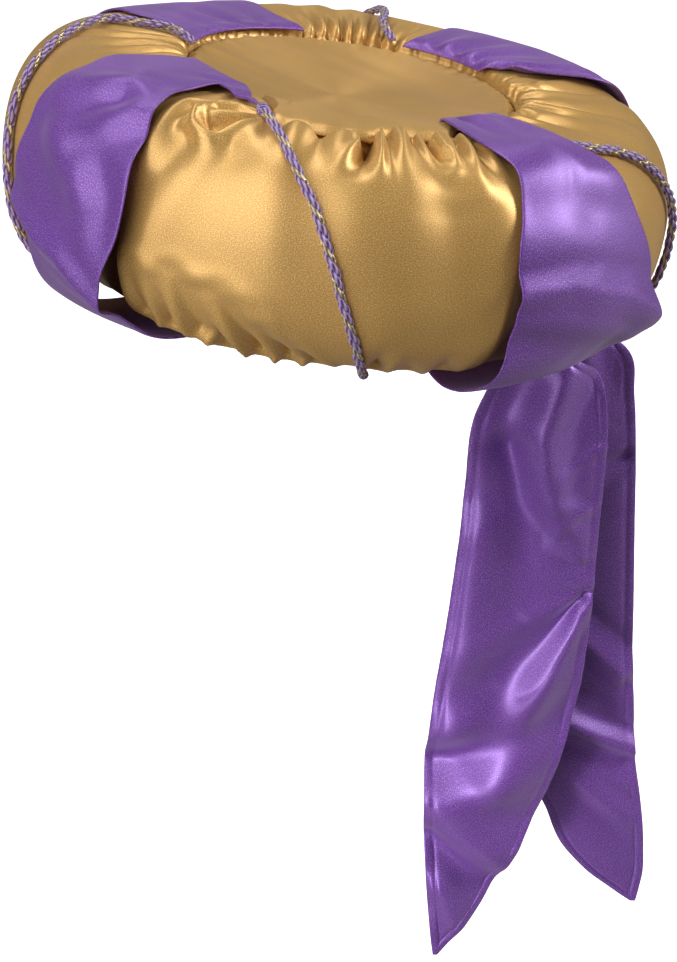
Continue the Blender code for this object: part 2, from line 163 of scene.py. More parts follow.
def section_form(section):
    """Radius and height of the roll's full round form at section angles."""
    turn = np.radians(section)
    outwards, upwards = np.cos(turn), np.sin(turn)
    inner = np.where(upwards >= 0, SHOULDER_ROUNDNESS, UNDERSIDE_ROUNDNESS)
    roundness = np.where(outwards >= 0, OUTER_ROUNDNESS, inner)
    rise = np.sign(upwards) * np.abs(upwards) ** (2 / roundness)
    spread = np.sign(outwards) * np.abs(outwards) ** (2 / roundness)
    inner_width = ROLL_INNER_HALF_WIDTH + INNER_WALL_LEAN * rise
    half_width = np.where(outwards >= 0, ROLL_OUTER_HALF_WIDTH, inner_width)
    return ROLL_RADIUS + half_width * spread, rise * ROLL_HALF_HEIGHT


# The form once more by the cloth's own length round it, from the outermost line
fine_sections = np.linspace(-180, 180, 7201)
fine_radii, fine_heights = section_form(fine_sections)
fine_lengths = np.concatenate([[0], np.cumsum(np.hypot(np.diff(fine_radii), np.diff(fine_heights)))])
fine_lengths -= np.interp(0, fine_sections, fine_lengths)
GIRTH = fine_lengths[-1] - fine_lengths[0]
girth_steps = np.linspace(fine_lengths[0], fine_lengths[-1], 300)
girth_radii = np.interp(girth_steps, fine_lengths, fine_radii)
girth_heights = np.interp(girth_steps, fine_lengths, fine_heights)


def evened(values, reach):
    """Values along the closed section, each the mean of its neighbours within reach."""
    around = np.concatenate([values[-reach - 1:-1], values, values[1:reach + 1]])
    return np.convolve(around, np.ones(2 * reach + 1) / (2 * reach + 1), mode="valid")


girth_out = evened(np.gradient(girth_heights, girth_steps), 3)
girth_up = -evened(np.gradient(girth_radii, girth_steps), 3)
girth_norm = np.hypot(girth_out, girth_up)
girth_out, girth_up = girth_out / girth_norm, girth_up / girth_norm


def length_at(section):
    """The cloth's length from the outermost line to a section angle, in millimetres."""
    return np.interp(section, fine_sections, fine_lengths) / MM


def section_at(length):
    """The section angle at a cloth length from the outermost line, in millimetres."""
    return np.interp(length * MM, fine_lengths, fine_sections)


def pressed_in(azimuth, section):
    """How far the bands press the roll in, between the seams that hold them, in millimetres."""
    between = ramp((BAND_TOP_SECTION - section) / PRESS_FADE)
    between = between * ramp((section - BAND_UNDER_SECTION) / PRESS_FADE)
    presses = [w.pressed * hump(turn_between(azimuth, w.azimuth) / w.half_width) for w in WAISTS]
    return between * np.max(presses, axis=0)


def waisted_in(azimuth, section):
    """How far the bands draw the roll in from its full round form, in millimetres."""
    depth = pressed_in(azimuth, section)
    belt = hump((section - WAIST_MIDDLE_SECTION) / WAIST_HALF_SPAN)
    for waist in WAISTS:
        beyond_flat = np.maximum(0, np.abs(turn_between(azimuth, waist.azimuth)) - waist.flat)
        share = hump(beyond_flat / (waist.reach - waist.flat))
        depth = np.maximum(depth, waist.depth * share * belt)
    return depth


def worn(upright):
    """Places on the upright hat, tilted as it is worn."""
    return upright @ np.array(Euler(WORN_TILT).to_matrix()).T


def over_form(azimuth, length, drawn, lift):
    """Places on the worn hat, from azimuths, lengths round the section, and how far the
    form is drawn in and the place stands off it, all in degrees and millimetres."""
    length = (length * MM + GIRTH / 2) % GIRTH - GIRTH / 2
    length = np.clip(length, girth_steps[0], girth_steps[-1])
    radius, height, out, up = (
        np.interp(length, girth_steps, along) for along in (girth_radii, girth_heights, girth_out, girth_up)
    )
    reach = np.hypot(radius - ROLL_RADIUS, height)
    kept = 1 - drawn * MM / reach
    radius = ROLL_RADIUS + (radius - ROLL_RADIUS) * kept + out * lift * MM
    height = height * kept + up * lift * MM + ROLL_HALF_HEIGHT
    turn = np.radians(azimuth)
    return worn(np.stack([radius * np.sin(turn), -radius * np.cos(turn), height], axis=-1))


# A fold runs between two places and fades from one width and depth to the other. A
# depth below 0 stands out; crisp is 1 for a creased bottom and 2 for a round one; lean
# slides one lip over the other
FOLD_FORM = "width to_width depth to_depth crisp lean"
PLAIN_FOLD = [2.0, 0]
Fold = namedtuple("Fold", f"azimuth section to_azimuth to_section {FOLD_FORM}", defaults=PLAIN_FOLD)
GOLD_FOLDS = [
    Fold(-2, 44, -5, -6, 10, 13, 1.5, 1.2),
    Fold(-5, -6, -6, -40, 13, 9, 1.2, 0.8),
    Fold(-10, 50, -19, -4, 5.5, 7.5, 2.4, 1.6),
    Fold(6, 40, 10, -24, 9, 11, -1.2, -0.9),
    Fold(21, 44, 26, -24, 13, 15, -1.8, -1.4),
    Fold(37, 32, 39, -20, 9, 11, 2.4, 1.6),
    Fold(-7, -16, -3, -56, 4, 3, 1.2, 5.5, 1.7),
    Fold(-3, -22, 2, -70, 4.0, 3.0, 2.0, 7.5, 1.6, 1.0),
    Fold(1, -20, 8, -70, 4.5, 3.0, 2.0, 8.0, 1.6, 1.2),
    Fold(5, -26, 13.5, -72, 4.5, 3.0, 1.8, 7.5, 1.6, 1.2),
    Fold(10, -36, 18.5, -72, 4.0, 3.2, 1.0, 5.5, 1.6, 0.8),
    Fold(-11, -24, -9, -60, 3.5, 3.0, 1.4, 5.0, 1.8),
    Fold(-15, -18, -14, -56, 3.5, 3.0, 1.0, 4.0, 1.8),
    Fold(28.5, -36, 29.5, -74, 3.0, 2.2, 0.5, 5.5, 1.4),
    Fold(34, -44, 36.5, -72, 4, 3, 0.2, 3.0, 1.7, 0.6),
    Fold(40, -36, 43, -72, 5, 3.4, 0.2, 3.5, 1.7, 0.6),
    Fold(118, 132, 118, 98, 1.6, 4.0, 4, 6.5, 1.3),
    Fold(118, 98, 128, 52, 4.0, 9, 6.5, 0, 1.5),
    Fold(104, 136, 100, 100, 1.4, 3.0, 4, 5.5, 1.2, 1.8),
    Fold(100, 100, 110, 46, 3.0, 8, 5.5, 0, 1.4, 1.0),
    Fold(91, 134, 85, 98, 1.6, 4, 3.5, 3.5, 1.3),
    Fold(85, 98, 88, 46, 4, 8, 3.5, 0, 1.6),
    Fold(124, 136, 125, 104, 1.4, 3.2, 3.5, 2, 1.3),
    Fold(111, 134, 109, 92, 1.4, 4, 3.8, 0, 1.3),
    Fold(96, 134, 93, 88, 1.4, 5, 3.4, 0, 1.3),
    Fold(79, 120, 80, 84, 1.4, 4, 3.0, 0, 1.3),
    Fold(183, 134, 182, 76, 1.6, 4.5, 5, 0, 1.3, 0.8),
    Fold(188, 134, 190, 82, 1.5, 3.5, 5, 0, 1.3, -0.8),
    Fold(193.5, 134, 194, 70, 1.7, 4, 6.5, 0, 1.2, 1.2),
    Fold(198, 134, 199, 78, 1.5, 3.5, 6, 0, 1.3, -1.2),
    Fold(202.5, 134, 203, 62, 1.9, 4, 7, 0, 1.2, 1.2),
    Fold(207, 134, 206, 78, 1.5, 3.5, 6, 0, 1.3, -1.0),
    Fold(211.5, 134, 212, 66, 1.7, 4.5, 6, 0, 1.3, 1.0),
    Fold(216, 134, 215, 84, 1.5, 3.5, 4, 0, 1.4),
    Fold(287, 134, 288, 60, 1.6, 6, 4.5, 0, 1.3),
    Fold(292, 134, 297, 60, 1.6, 6, 5.0, 0, 1.3, 0.8),
    Fold(298, 134, 305, 60, 1.6, 6, 5.5, 0, 1.3, 0.8),
    Fold(304, 134, 311, 70, 1.6, 5, 5.0, 0, 1.4, 0.6),
    Fold(310, 134, 315, 84, 1.5, 4, 3.5, 0, 1.4),
    Fold(276, 134, 275, 80, 1.6, 5, 4, 0, 1.4),
]
# Over the front the puffs and pleats are placed by the cloth's length from the outermost
# line, in millimetres; a puff has a depth below 0
Pleat = namedtuple("Pleat", f"azimuth length to_azimuth to_length {FOLD_FORM}", defaults=PLAIN_FOLD)
FRONT_PLEATS = [
    Pleat(-1.2, 65, -7.6, 52, 0.9, 3.8, 2.0, 7.0, 3.0),
    Pleat(-1.8, 69, -6.4, 69.5, 1.0, 1.5, -1.0, -2.2),
    Pleat(-6.4, 69.5, -10.4, 65, 1.5, 1.8, -2.2, -2.4),
    Pleat(-10.4, 65, -11.8, 56, 1.8, 1.9, -2.4, -2.4),
    Pleat(-11.8, 56, -10.0, 48, 1.9, 2.0, -2.4, -2.4),
    Pleat(-10.0, 48, -3.0, 36, 2.0, 5.0, -2.4, 0),
    Pleat(-3.0, 73.5, -9.5, 72, 1.2, 2.0, 1.4, 2.4),
    Pleat(-9.5, 72, -14.6, 62, 2.0, 2.6, 2.4, 3.0),
    Pleat(-14.6, 62, -14.0, 46, 2.6, 3.4, 3.0, 2.6),
    Pleat(-14.0, 46, -9.0, 28, 3.4, 8.0, 2.6, 0),
    Pleat(-3.5, 46, -1.5, 24, 5.0, 9.0, 1.6, 0),
    Pleat(2.8, 74, 4.2, 46, 1.8, 4.5, 2.2, 0),
    Pleat(7.6, 71, 8.2, 34, 4.6, 7.0, -3.6, 0),
    Pleat(12.0, 66, 12.2, 36, 2.0, 5.0, 1.4, 0),
    Pleat(16.6, 74, 16.0, 32, 4.6, 7.0, -3.8, 0),
    Pleat(20.4, 82, 21.2, 72, 2.4, 2.4, 8.0, 9.0, 2.4),
    Pleat(21.2, 72, 21.4, 60, 2.4, 1.9, 9.0, 6.5, 2.4),
    Pleat(21.4, 60, 19.8, 38, 1.9, 4.4, 6.5, 0),
    Pleat(23.8, 80, 24.2, 66, 1.7, 1.7, -2.0, -3.0),
    Pleat(24.2, 66, 23.6, 54, 1.7, 2.0, -3.0, -2.6),
    Pleat(23.6, 54, 21.2, 32, 2.0, 5.0, -2.6, 0),
    Pleat(26.2, 78, 25.8, 40, 1.1, 3.2, 2.0, 0),
    Pleat(28.4, 78, 27.0, 32, 4.6, 7.0, -4.2, 0),
    Pleat(31.6, 74, 30.0, 42, 2.0, 4.5, 2.4, 0),
    Pleat(33.6, 78, 32.4, 44, 2.0, 4.0, -1.6, 0),
    Pleat(36.0, 90, 34.8, 74, 1.4, 2.0, 3.0, 5.5),
    Pleat(34.8, 74, 34.8, 62, 2.0, 1.8, 5.5, 4.5),
    Pleat(34.8, 62, 37.0, 48, 1.8, 3.0, 4.5, 0),
    Pleat(38.6, 77, 37.4, 50, 3.6, 4.6, -3.6, -1.6),
    Pleat(40.8, 72, 39.6, 50, 1.6, 3.0, 2.4, 0),
    Pleat(43.8, 92, 43.6, 74, 1.4, 1.6, -1.6, -2.6),
    Pleat(43.6, 74, 42.0, 58, 1.6, 2.4, -2.6, -2.4),
    Pleat(42.0, 58, 41.2, 34, 2.4, 4.5, -2.4, 0),
    Pleat(45.6, 78, 44.0, 42, 1.6, 3.6, 3.2, 0),
    Pleat(47.4, 74, 46.0, 46, 1.5, 3.0, -2.0, 0),
]
SEAM_DIP = 2.6
SEAM_DIP_HALF_WIDTH = 2.6
UNDER_CROWN_DIP = 4.5
UNDER_CROWN_MIDDLE = 9
UNDER_CROWN_HALF_WIDTH = 11
GATHER_STEP = 2.6
GATHER_SEED = 11
GATHER_REACH = -52
UNDER_GATHER_REACH = 46
UNDER_SEAM_SECTION = -104
CROWN_SEAM_SECTION = 135
CROWN_FRONT = 22
CROWN_FRONT_FLAT = 20
CROWN_FRONT_FADE = 26
CROWN_FRONT_SECTION = 90.35
CROWN_DROOP_AZIMUTH = 8
CROWN_DROOP_HALF_WIDTH = 22
CROWN_DROOP = 1.8
PLAIN_FRONT_HALF_WIDTH = 34
FOLD_REACH = 4
WELT_SHARE = 0.3
WELT_OUT = 2.0
WELT_HALF_WIDTH = 0.8
LIP_OUT = 1.0
LIP_HALF_WIDTH = 0.9


def crown_seam(azimuth):
    """The section angle of the crown's seam, which comes forward to the top at the front."""
    beyond_front = np.maximum(0, np.abs(turn_between(azimuth, CROWN_FRONT)) - CROWN_FRONT_FLAT)
    forward = hump(beyond_front / CROWN_FRONT_FADE)
    droop = CROWN_DROOP * hump(turn_between(azimuth, CROWN_DROOP_AZIMUTH) / CROWN_DROOP_HALF_WIDTH)
    return CROWN_SEAM_SECTION + (CROWN_FRONT_SECTION - CROWN_SEAM_SECTION) * forward - droop


def seam_gathers(seam, reach, seed):
    """Small gathers all along a seam, from its section angle a varied reach over the roll."""
    draws = np.random.default_rng(seed)
    gathers = []
    for azimuth in np.arange(0, 360, GATHER_STEP):
        at = azimuth + draws.uniform(-0.9, 0.9)
        if abs(turn_between(at, CROWN_FRONT)) < PLAIN_FRONT_HALF_WIDTH:
            continue
        section = float(seam(at))
        to_section = section + reach * draws.uniform(0.35, 1.0)
        width, depth = draws.uniform(0.9, 1.7), draws.uniform(0.8, 2.0)
        lean, to_azimuth = draws.uniform(-0.6, 0.6), at + draws.uniform(-1.5, 1.5)
        gathers.append(Fold(at, section, to_azimuth, to_section, width, 3.2, depth, 0, 1.5, lean))
    return gathers


def folded(across, along, lines):
    """How deep folds press the cloth in at places across and along it, and how far they
    slide it across and along. Each line of folds is (start, end, fold), in millimetres,
    and one that starts where the last one ended goes on with the same fold. A low welt
    stands along each side of a groove."""
    total, slide_across, slide_along, chain = (np.zeros_like(across) for _ in range(4))
    nearest = np.full_like(across, np.inf)
    chain_end = None
    for start, end, fold in lines:
        if start != chain_end:
            total += chain
            chain[:] = 0
            nearest[:] = np.inf
        chain_end = end
        run_across, run_along = end[0] - start[0], end[1] - start[1]
        run = math.hypot(run_across, run_along)
        side_across, side_along = -run_along / run, run_across / run
        reach = FOLD_REACH * max(fold.width, fold.to_width)
        near = np.abs(across - (start[0] + end[0]) / 2) < abs(run_across) / 2 + reach
        near &= np.abs(along - (start[1] + end[1]) / 2) < abs(run_along) / 2 + reach
        off_across, off_along = across[near] - start[0], along[near] - start[1]
        share = (off_across * run_across + off_along * run_along) / run**2
        held = np.clip(share, 0, 1)
        side = off_across * side_across + off_along * side_along
        width = fold.width + (fold.to_width - fold.width) * held
        beyond = (share - held) * run / width
        out = np.hypot(side / width, beyond)
        amount = fold.depth + (fold.to_depth - fold.depth) * held
        welts = WELT_SHARE * np.exp(-(((out - WELT_OUT) / WELT_HALF_WIDTH) ** 2))
        depth = amount * (np.exp(-(out**fold.crisp)) - welts)
        closer = out < nearest[near]
        chain[near] = np.where(closer, depth, chain[near])
        nearest[near] = np.where(closer, out, nearest[near])
        if fold.lean:
            lip = np.sign(fold.lean) * side / width
            over = np.exp(-(((lip - LIP_OUT) / LIP_HALF_WIDTH) ** 2) - beyond**2) * (1 - held**3)
            slide_across[near] -= fold.lean * over * side_across
            slide_along[near] -= fold.lean * over * side_along
    return total + chain, slide_across, slide_along


def ring_lines(folds, middle):
    """Folds of the ring's cloth as lines in millimetres, counted near a middle azimuth."""
    lines = []
    for fold in folds:
        start = (middle + turn_between(fold.azimuth, middle)) * MM_PER_DEGREE
        end = start + turn_between(fold.to_azimuth, fold.azimuth) * MM_PER_DEGREE
        lines.append(((start, length_at(fold.section)), (end, length_at(fold.to_section)), fold))
    return lines


def vertex_places(piece):
    """Each vertex's place in a piece's mesh."""
    places = np.empty(len(piece.data.vertices) * 3, dtype=np.float32)
    piece.data.vertices.foreach_get("co", places)
    return places.reshape(-1, 3)


def corner_vertices(piece):
    """The vertex at each corner of a piece's faces."""
    corners = np.empty(len(piece.data.loops), dtype=np.int32)
    piece.data.loops.foreach_get("vertex_index", corners)
    return corners


def set_places(piece, places):
    """Moves each vertex of a piece to its place."""
    piece.data.vertices.foreach_set("co", np.ascontiguousarray(places, dtype=np.float32).ravel())
    piece.data.update()


def set_cloth_map(piece, across, along, turn=None):
    """The cloth's own map in metres, from each vertex's place on it. turn is how far across
    a closed ring comes back to its start."""
    corners = corner_vertices(piece)
    u, v = across[corners].reshape(-1, 4), along[corners].reshape(-1, 4)
    if turn:
        u = u + turn * (u.max(axis=1, keepdims=True) - u > turn / 2)
        v = v + GIRTH / MM * (v.max(axis=1, keepdims=True) - v > GIRTH / MM / 2)
    while piece.data.uv_layers:
        piece.data.uv_layers.remove(piece.data.uv_layers[0])
    cloth_map = piece.data.uv_layers.new(name="cloth")
    cloth_map.uv.foreach_set("vector", (np.stack([u, v], axis=-1) * MM).astype(np.float32).ravel())


def socket(group, name, kind, way, value=None):
    """A new input or output of a node group, with the value it has to start with."""
    made = group.interface.new_socket(name=name, in_out=way, socket_type=kind)
    if value is not None:
        made.default_value = value
    return made


def math_node(tree, operation, *values):
    """The result of one operation on numbers and other nodes' results."""
    node = tree.nodes.new("ShaderNodeMath")
    node.operation = operation
    for place, value in enumerate(values):
        if isinstance(value, (int, float)):
            node.inputs[place].default_value = value
        else:
            tree.links.new(value, node.inputs[place])
    return node.outputs[0]


# Satin's face for both colours: painted glints, paler specks mixed into the tone where the
# long floats of thread catch the light, faint lines of weft, and a slow change of tone over the cloth
satin_face = bpy.data.node_groups.new("satin_face", "ShaderNodeTree")
socket(satin_face, "Tone", "NodeSocketColor", "INPUT", (0.5, 0.3, 0.1, 1))
socket(satin_face, "Grain Tone", "NodeSocketColor", "INPUT", (0.9, 0.7, 0.4, 1))
socket(satin_face, "Grain", "NodeSocketFloat", "INPUT", 0.3)
socket(satin_face, "Gloss", "NodeSocketFloat", "INPUT", 0.35)
socket(satin_face, "Color", "NodeSocketColor", "OUTPUT")
socket(satin_face, "Roughness", "NodeSocketFloat", "OUTPUT")
socket(satin_face, "Height", "NodeSocketFloat", "OUTPUT")
nodes, links = satin_face.nodes, satin_face.links
entry = nodes.new("NodeGroupInput")
leave = nodes.new("NodeGroupOutput")
cloth_uv = nodes.new("ShaderNodeUVMap")
cloth_uv.uv_map = "cloth"
float_stretch = nodes.new("ShaderNodeMapping")
float_stretch.inputs["Scale"].default_value = (2600, 900, 1)
links.new(cloth_uv.outputs["UV"], float_stretch.inputs["Vector"])
floats = nodes.new("ShaderNodeTexNoise")
floats.inputs["Scale"].default_value = 1.0
floats.inputs["Detail"].default_value = 2.0
links.new(float_stretch.outputs["Vector"], floats.inputs["Vector"])
speckle = nodes.new("ShaderNodeTexNoise")
speckle.inputs["Scale"].default_value = 2300
speckle.inputs["Detail"].default_value = 1.0
links.new(cloth_uv.outputs["UV"], speckle.inputs["Vector"])
slow = nodes.new("ShaderNodeTexNoise")
slow.inputs["Scale"].default_value = 28
slow.inputs["Detail"].default_value = 3.0
links.new(cloth_uv.outputs["UV"], slow.inputs["Vector"])
weft = nodes.new("ShaderNodeTexWave")
weft.wave_type = "BANDS"
weft.bands_direction = "Y"
weft.inputs["Scale"].default_value = 500
weft.inputs["Distortion"].default_value = 1.5
weft.inputs["Detail"].default_value = 1.0
links.new(cloth_uv.outputs["UV"], weft.inputs["Vector"])
# Painted glints: the speckle and the floats mix the tone towards a paler glint colour, and the same mask also
# varies the roughness
glint_spots = math_node(satin_face, "MULTIPLY_ADD", speckle.outputs["Fac"], 2.4, -1.2)
glint_threads = math_node(satin_face, "SUBTRACT", floats.outputs["Fac"], 0.5)
glint_mask = math_node(satin_face, "ADD", glint_spots, glint_threads)
glint_lit = math_node(satin_face, "MAXIMUM", glint_mask, 0.0)
painted_glint_share = math_node(satin_face, "MULTIPLY", glint_lit, entry.outputs["Grain"])
painted_glint_mix = nodes.new("ShaderNodeMix")
painted_glint_mix.data_type = "RGBA"
links.new(painted_glint_share, painted_glint_mix.inputs["Factor"])
links.new(entry.outputs["Tone"], painted_glint_mix.inputs["A"])
links.new(entry.outputs["Grain Tone"], painted_glint_mix.inputs["B"])
tone_shift = nodes.new("ShaderNodeHueSaturation")
# Painted glint speckle: the speckle also lightens and darkens the tone's value, and the slow noise varies it
# at random
slow_value = math_node(satin_face, "MULTIPLY_ADD", slow.outputs["Fac"], 0.26, 0.32)
tone_value = math_node(satin_face, "MULTIPLY_ADD", speckle.outputs["Fac"], 1.1, slow_value)
links.new(tone_value, tone_shift.inputs["Value"])
links.new(painted_glint_mix.outputs["Result"], tone_shift.inputs["Color"])
links.new(tone_shift.outputs["Color"], leave.inputs["Color"])
gloss = math_node(satin_face, "MULTIPLY_ADD", glint_mask, 0.08, entry.outputs["Gloss"])
links.new(gloss, leave.inputs["Roughness"])
float_height = math_node(satin_face, "MULTIPLY", floats.outputs["Fac"], 0.6)
thread_height = math_node(satin_face, "MULTIPLY_ADD", weft.outputs["Fac"], 0.25, float_height)
face_height = math_node(satin_face, "MULTIPLY_ADD", speckle.outputs["Fac"], 0.5, thread_height)
links.new(face_height, leave.inputs["Height"])

# A satin's second tone and its share are the colour and strength of its painted glints
Satin = namedtuple("Satin", "name tone grain_tone grain gloss metallic coat sheen sheen_tint bump")


def satin(cloth):
    """A satin in its own colours and gloss, with the face that both colours share."""
    material = bpy.data.materials.new(cloth.name)
    material.use_nodes = True
    tree = material.node_tree
    face = tree.nodes.new("ShaderNodeGroup")
    face.node_tree = satin_face
    face.inputs["Tone"].default_value = (*cloth.tone, 1)
    face.inputs["Grain Tone"].default_value = (*cloth.grain_tone, 1)
    face.inputs["Grain"].default_value = cloth.grain
    face.inputs["Gloss"].default_value = cloth.gloss
    surface = tree.nodes["Principled BSDF"]
    surface.inputs["Metallic"].default_value = cloth.metallic
    surface.inputs["Anisotropic"].default_value = 0.65
    surface.inputs["Anisotropic Rotation"].default_value = 0.25
    surface.inputs["Coat Weight"].default_value = cloth.coat
    surface.inputs["Coat Roughness"].default_value = 0.3
    surface.inputs["Sheen Weight"].default_value = cloth.sheen
    surface.inputs["Sheen Roughness"].default_value = 0.5
    surface.inputs["Sheen Tint"].default_value = (*cloth.sheen_tint, 1)
    surface.inputs["Specular IOR Level"].default_value = 0.6
    bump = tree.nodes.new("ShaderNodeBump")
    bump.inputs["Strength"].default_value = cloth.bump
    bump.inputs["Distance"].default_value = 0.15 * MM
    tree.links.new(face.outputs["Height"], bump.inputs["Height"])
    tree.links.new(face.outputs["Color"], surface.inputs["Base Color"])
    tree.links.new(face.outputs["Roughness"], surface.inputs["Roughness"])
    tree.links.new(bump.outputs["Normal"], surface.inputs["Normal"])
    return material


# Gold satin: its second tone is the pale cream of the painted glints
gold_satin = satin(Satin(
    "gold_satin", tone=(0.63, 0.355, 0.088), grain_tone=(1.00, 0.88, 0.66), grain=0.45, gloss=0.42,
    metallic=0.45, coat=0.10, sheen=0.06, sheen_tint=(1.0, 0.88, 0.62), bump=0.10,
))

ROLL_COLUMNS = 120
ROLL_ROWS = 50
ROLL_CUTS = 3
FRONT_DENSITY = 0.45
TOP_DENSITY = 0.35
DENSEST = math.radians(30)
SEAM_OVERLAP = 40
FOLDS_FADE_FROM = 1
FOLDS_FADE = 5
bpy.ops.object.select_all(action="DESELECT")
bpy.ops.mesh.primitive_torus_add(
    major_radius=ROLL_RADIUS, minor_radius=40 * MM, major_segments=ROLL_COLUMNS, minor_segments=ROLL_ROWS,
)
roll = bpy.context.object
roll.name = "roll_cover"
bpy.ops.object.mode_set(mode="EDIT")
bpy.ops.mesh.select_all(action="SELECT")
bpy.ops.mesh.subdivide(number_cuts=ROLL_CUTS)
bpy.ops.object.mode_set(mode="OBJECT")
ring_x, ring_y, ring_z = vertex_places(roll).astype(float).T
ring_azimuth = np.arctan2(ring_x, -ring_y) % (2 * np.pi)
ring_azimuth = ring_azimuth - FRONT_DENSITY * (np.sin(ring_azimuth - DENSEST) + math.sin(DENSEST))
roll_across = np.degrees(ring_azimuth) % 360 * MM_PER_DEGREE
ring_turn = np.arctan2(ring_z, np.hypot(ring_x, ring_y) - ROLL_RADIUS)
ring_turn = ring_turn + TOP_DENSITY / 2 * np.sin(2 * ring_turn)
roll_along = ring_turn / (2 * np.pi) * GIRTH / MM
gold_lines = []
for pleat in FRONT_PLEATS:
    start = (pleat.azimuth * MM_PER_DEGREE, pleat.length)
    gold_lines.append((start, (pleat.to_azimuth * MM_PER_DEGREE, pleat.to_length), pleat))
gold_lines += ring_lines(
    GOLD_FOLDS
    + seam_gathers(crown_seam, GATHER_REACH, GATHER_SEED)
    + seam_gathers(lambda azimuth: UNDER_SEAM_SECTION, UNDER_GATHER_REACH, GATHER_SEED + 1),
    180,
)
for start, end, fold in list(gold_lines):
    for shift in (-360 * MM_PER_DEGREE, 360 * MM_PER_DEGREE):
        if -SEAM_OVERLAP < start[0] + shift < 360 * MM_PER_DEGREE + SEAM_OVERLAP:
            gold_lines.append(((start[0] + shift, start[1]), (end[0] + shift, end[1]), fold))
roll_depth, roll_slide_across, roll_slide_along = folded(roll_across, roll_along, gold_lines)
roll_azimuth = (roll_across + roll_slide_across) / MM_PER_DEGREE
roll_drawn = waisted_in(roll_azimuth, section_at(roll_along))
for seam_section in (crown_seam(roll_azimuth), UNDER_SEAM_SECTION):
    off_seam = (roll_along - length_at(seam_section)) / SEAM_DIP_HALF_WIDTH
    roll_depth += SEAM_DIP * np.exp(-(off_seam**2))
beyond_seam = roll_along - length_at(crown_seam(roll_azimuth))
roll_depth *= 1 - ramp((beyond_seam - FOLDS_FADE_FROM) / FOLDS_FADE)
roll_depth += UNDER_CROWN_DIP * hump((beyond_seam - UNDER_CROWN_MIDDLE) / UNDER_CROWN_HALF_WIDTH)
set_places(roll, over_form(roll_azimuth, roll_along + roll_slide_along, roll_drawn, -roll_depth))
set_cloth_map(roll, roll_across, roll_along, turn=360 * MM_PER_DEGREE)
roll.data.materials.append(gold_satin)
bpy.ops.object.shade_smooth()
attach(roll, "root")
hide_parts("padded_roll")

# The flat crown: one round of the same gold satin, sewn round its edge into the roll's
# shoulder. It sags a little, and its cloth pulls in faint lines across the round.
CROWN_RADIUS = 71.7
CROWN_HEIGHT = 90.6
CROWN_SAG = 4.0
CROWN_WALL = 1.2
CROWN_LIFT = 0.5
CROWN_TUCK = 3.0
CROWN_TUCK_FROM = 0.95
CROWN_PUCKER_FROM = 0.82
CROWN_PUCKER_DEPTH = 0.35
CROWN_PUCKERS = 61
CROSS_PUCKER_DEPTH = 0.3
CROSS_PUCKERS = 37
SHOULDER_MEET = 4
SHOULDER_END_LENGTH = 60
CROWN_RINGS = 60
CROWN_SPOKES = 240

Drag = namedtuple("Drag", f"x y to_x to_y {FOLD_FORM}", defaults=PLAIN_FOLD)
CROWN_DRAGS = [
    Drag(-66, 8, 60, -28, 5, 8, 0.8, 0.5),
    Drag(-60, -14, 40, -44, 5, 8, 0.7, 0.4),
    Drag(-60, 34, 66, -8, 6, 8, -0.8, -0.5),
    Drag(-30, 58, 66, 14, 6, 7, 0.8, 0.5),
    Drag(-40, -44, 10, -66, 6, 4, 0.7, 0.8),
    Drag(-66, -8, -30, -20, 3, 8, 1.4, 0.0),
    Drag(68, 4, 36, 6, 3, 9, 1.2, 0.0),
]


def fresh_grid(name, columns, rows):
    """A flat grid a metre square, selected alone, and each vertex's shares across and
    along it, from 0 to 1."""
    bpy.ops.object.select_all(action="DESELECT")
    bpy.ops.mesh.primitive_grid_add(x_subdivisions=columns, y_subdivisions=rows, size=1)
    piece = bpy.context.object
    piece.name = name
    share_across, share_along, _ = vertex_places(piece).astype(float).T + 0.5
    return piece, share_across, share_along


crown, crown_turn, crown_share = fresh_grid("crown_round", CROWN_SPOKES, CROWN_RINGS)
crown_turn = crown_turn * 2 * np.pi
crown_azimuth = np.degrees(crown_turn) + 180
edge_radii = section_form(crown_seam(crown_azimuth))[0]
crown_radii = crown_share * edge_radii
crown_x = -np.sin(crown_turn) * crown_radii / MM
crown_y = np.cos(crown_turn) * crown_radii / MM
crown_lines = [((drag.x, drag.y), (drag.to_x, drag.to_y), drag) for drag in CROWN_DRAGS]
crown_depth = folded(crown_x, crown_y, crown_lines)[0]
pucker = CROWN_PUCKER_DEPTH * np.sin(crown_turn * CROWN_PUCKERS)
pucker = pucker + CROSS_PUCKER_DEPTH * np.sin(crown_turn * CROSS_PUCKERS + 1)
pucker = pucker * np.maximum(crown_share - CROWN_PUCKER_FROM, 0) / (1 - CROWN_PUCKER_FROM)
crown_depth = crown_depth * (1 - crown_share**8) + pucker
shoulder_lengths = np.linspace(length_at(CROWN_SEAM_SECTION), SHOULDER_END_LENGTH, 200)
shoulder_radii, shoulder_heights = section_form(section_at(shoulder_lengths))
on_shoulder = np.interp(crown_radii, shoulder_radii, shoulder_heights) + ROLL_HALF_HEIGHT
disc_heights = CROWN_HEIGHT - CROWN_SAG * (1 - np.minimum(crown_radii / MM / CROWN_RADIUS, 1) ** 2)
reach_over = ramp((crown_radii / MM - CROWN_RADIUS + SHOULDER_MEET) / (2 * SHOULDER_MEET))
crown_heights = disc_heights + (on_shoulder / MM + CROWN_LIFT - disc_heights) * reach_over
tuck = CROWN_TUCK * ramp((crown_share - CROWN_TUCK_FROM) / (1 - CROWN_TUCK_FROM))
crown_heights = crown_heights - crown_depth - tuck
crown_upright = np.stack([crown_x, crown_y, crown_heights], axis=-1) * MM
set_places(crown, worn(crown_upright))
set_cloth_map(crown, crown_x, crown_y)
bpy.ops.object.mode_set(mode="EDIT")
bpy.ops.mesh.select_all(action="SELECT")
bpy.ops.mesh.remove_doubles(threshold=0.02 * MM)
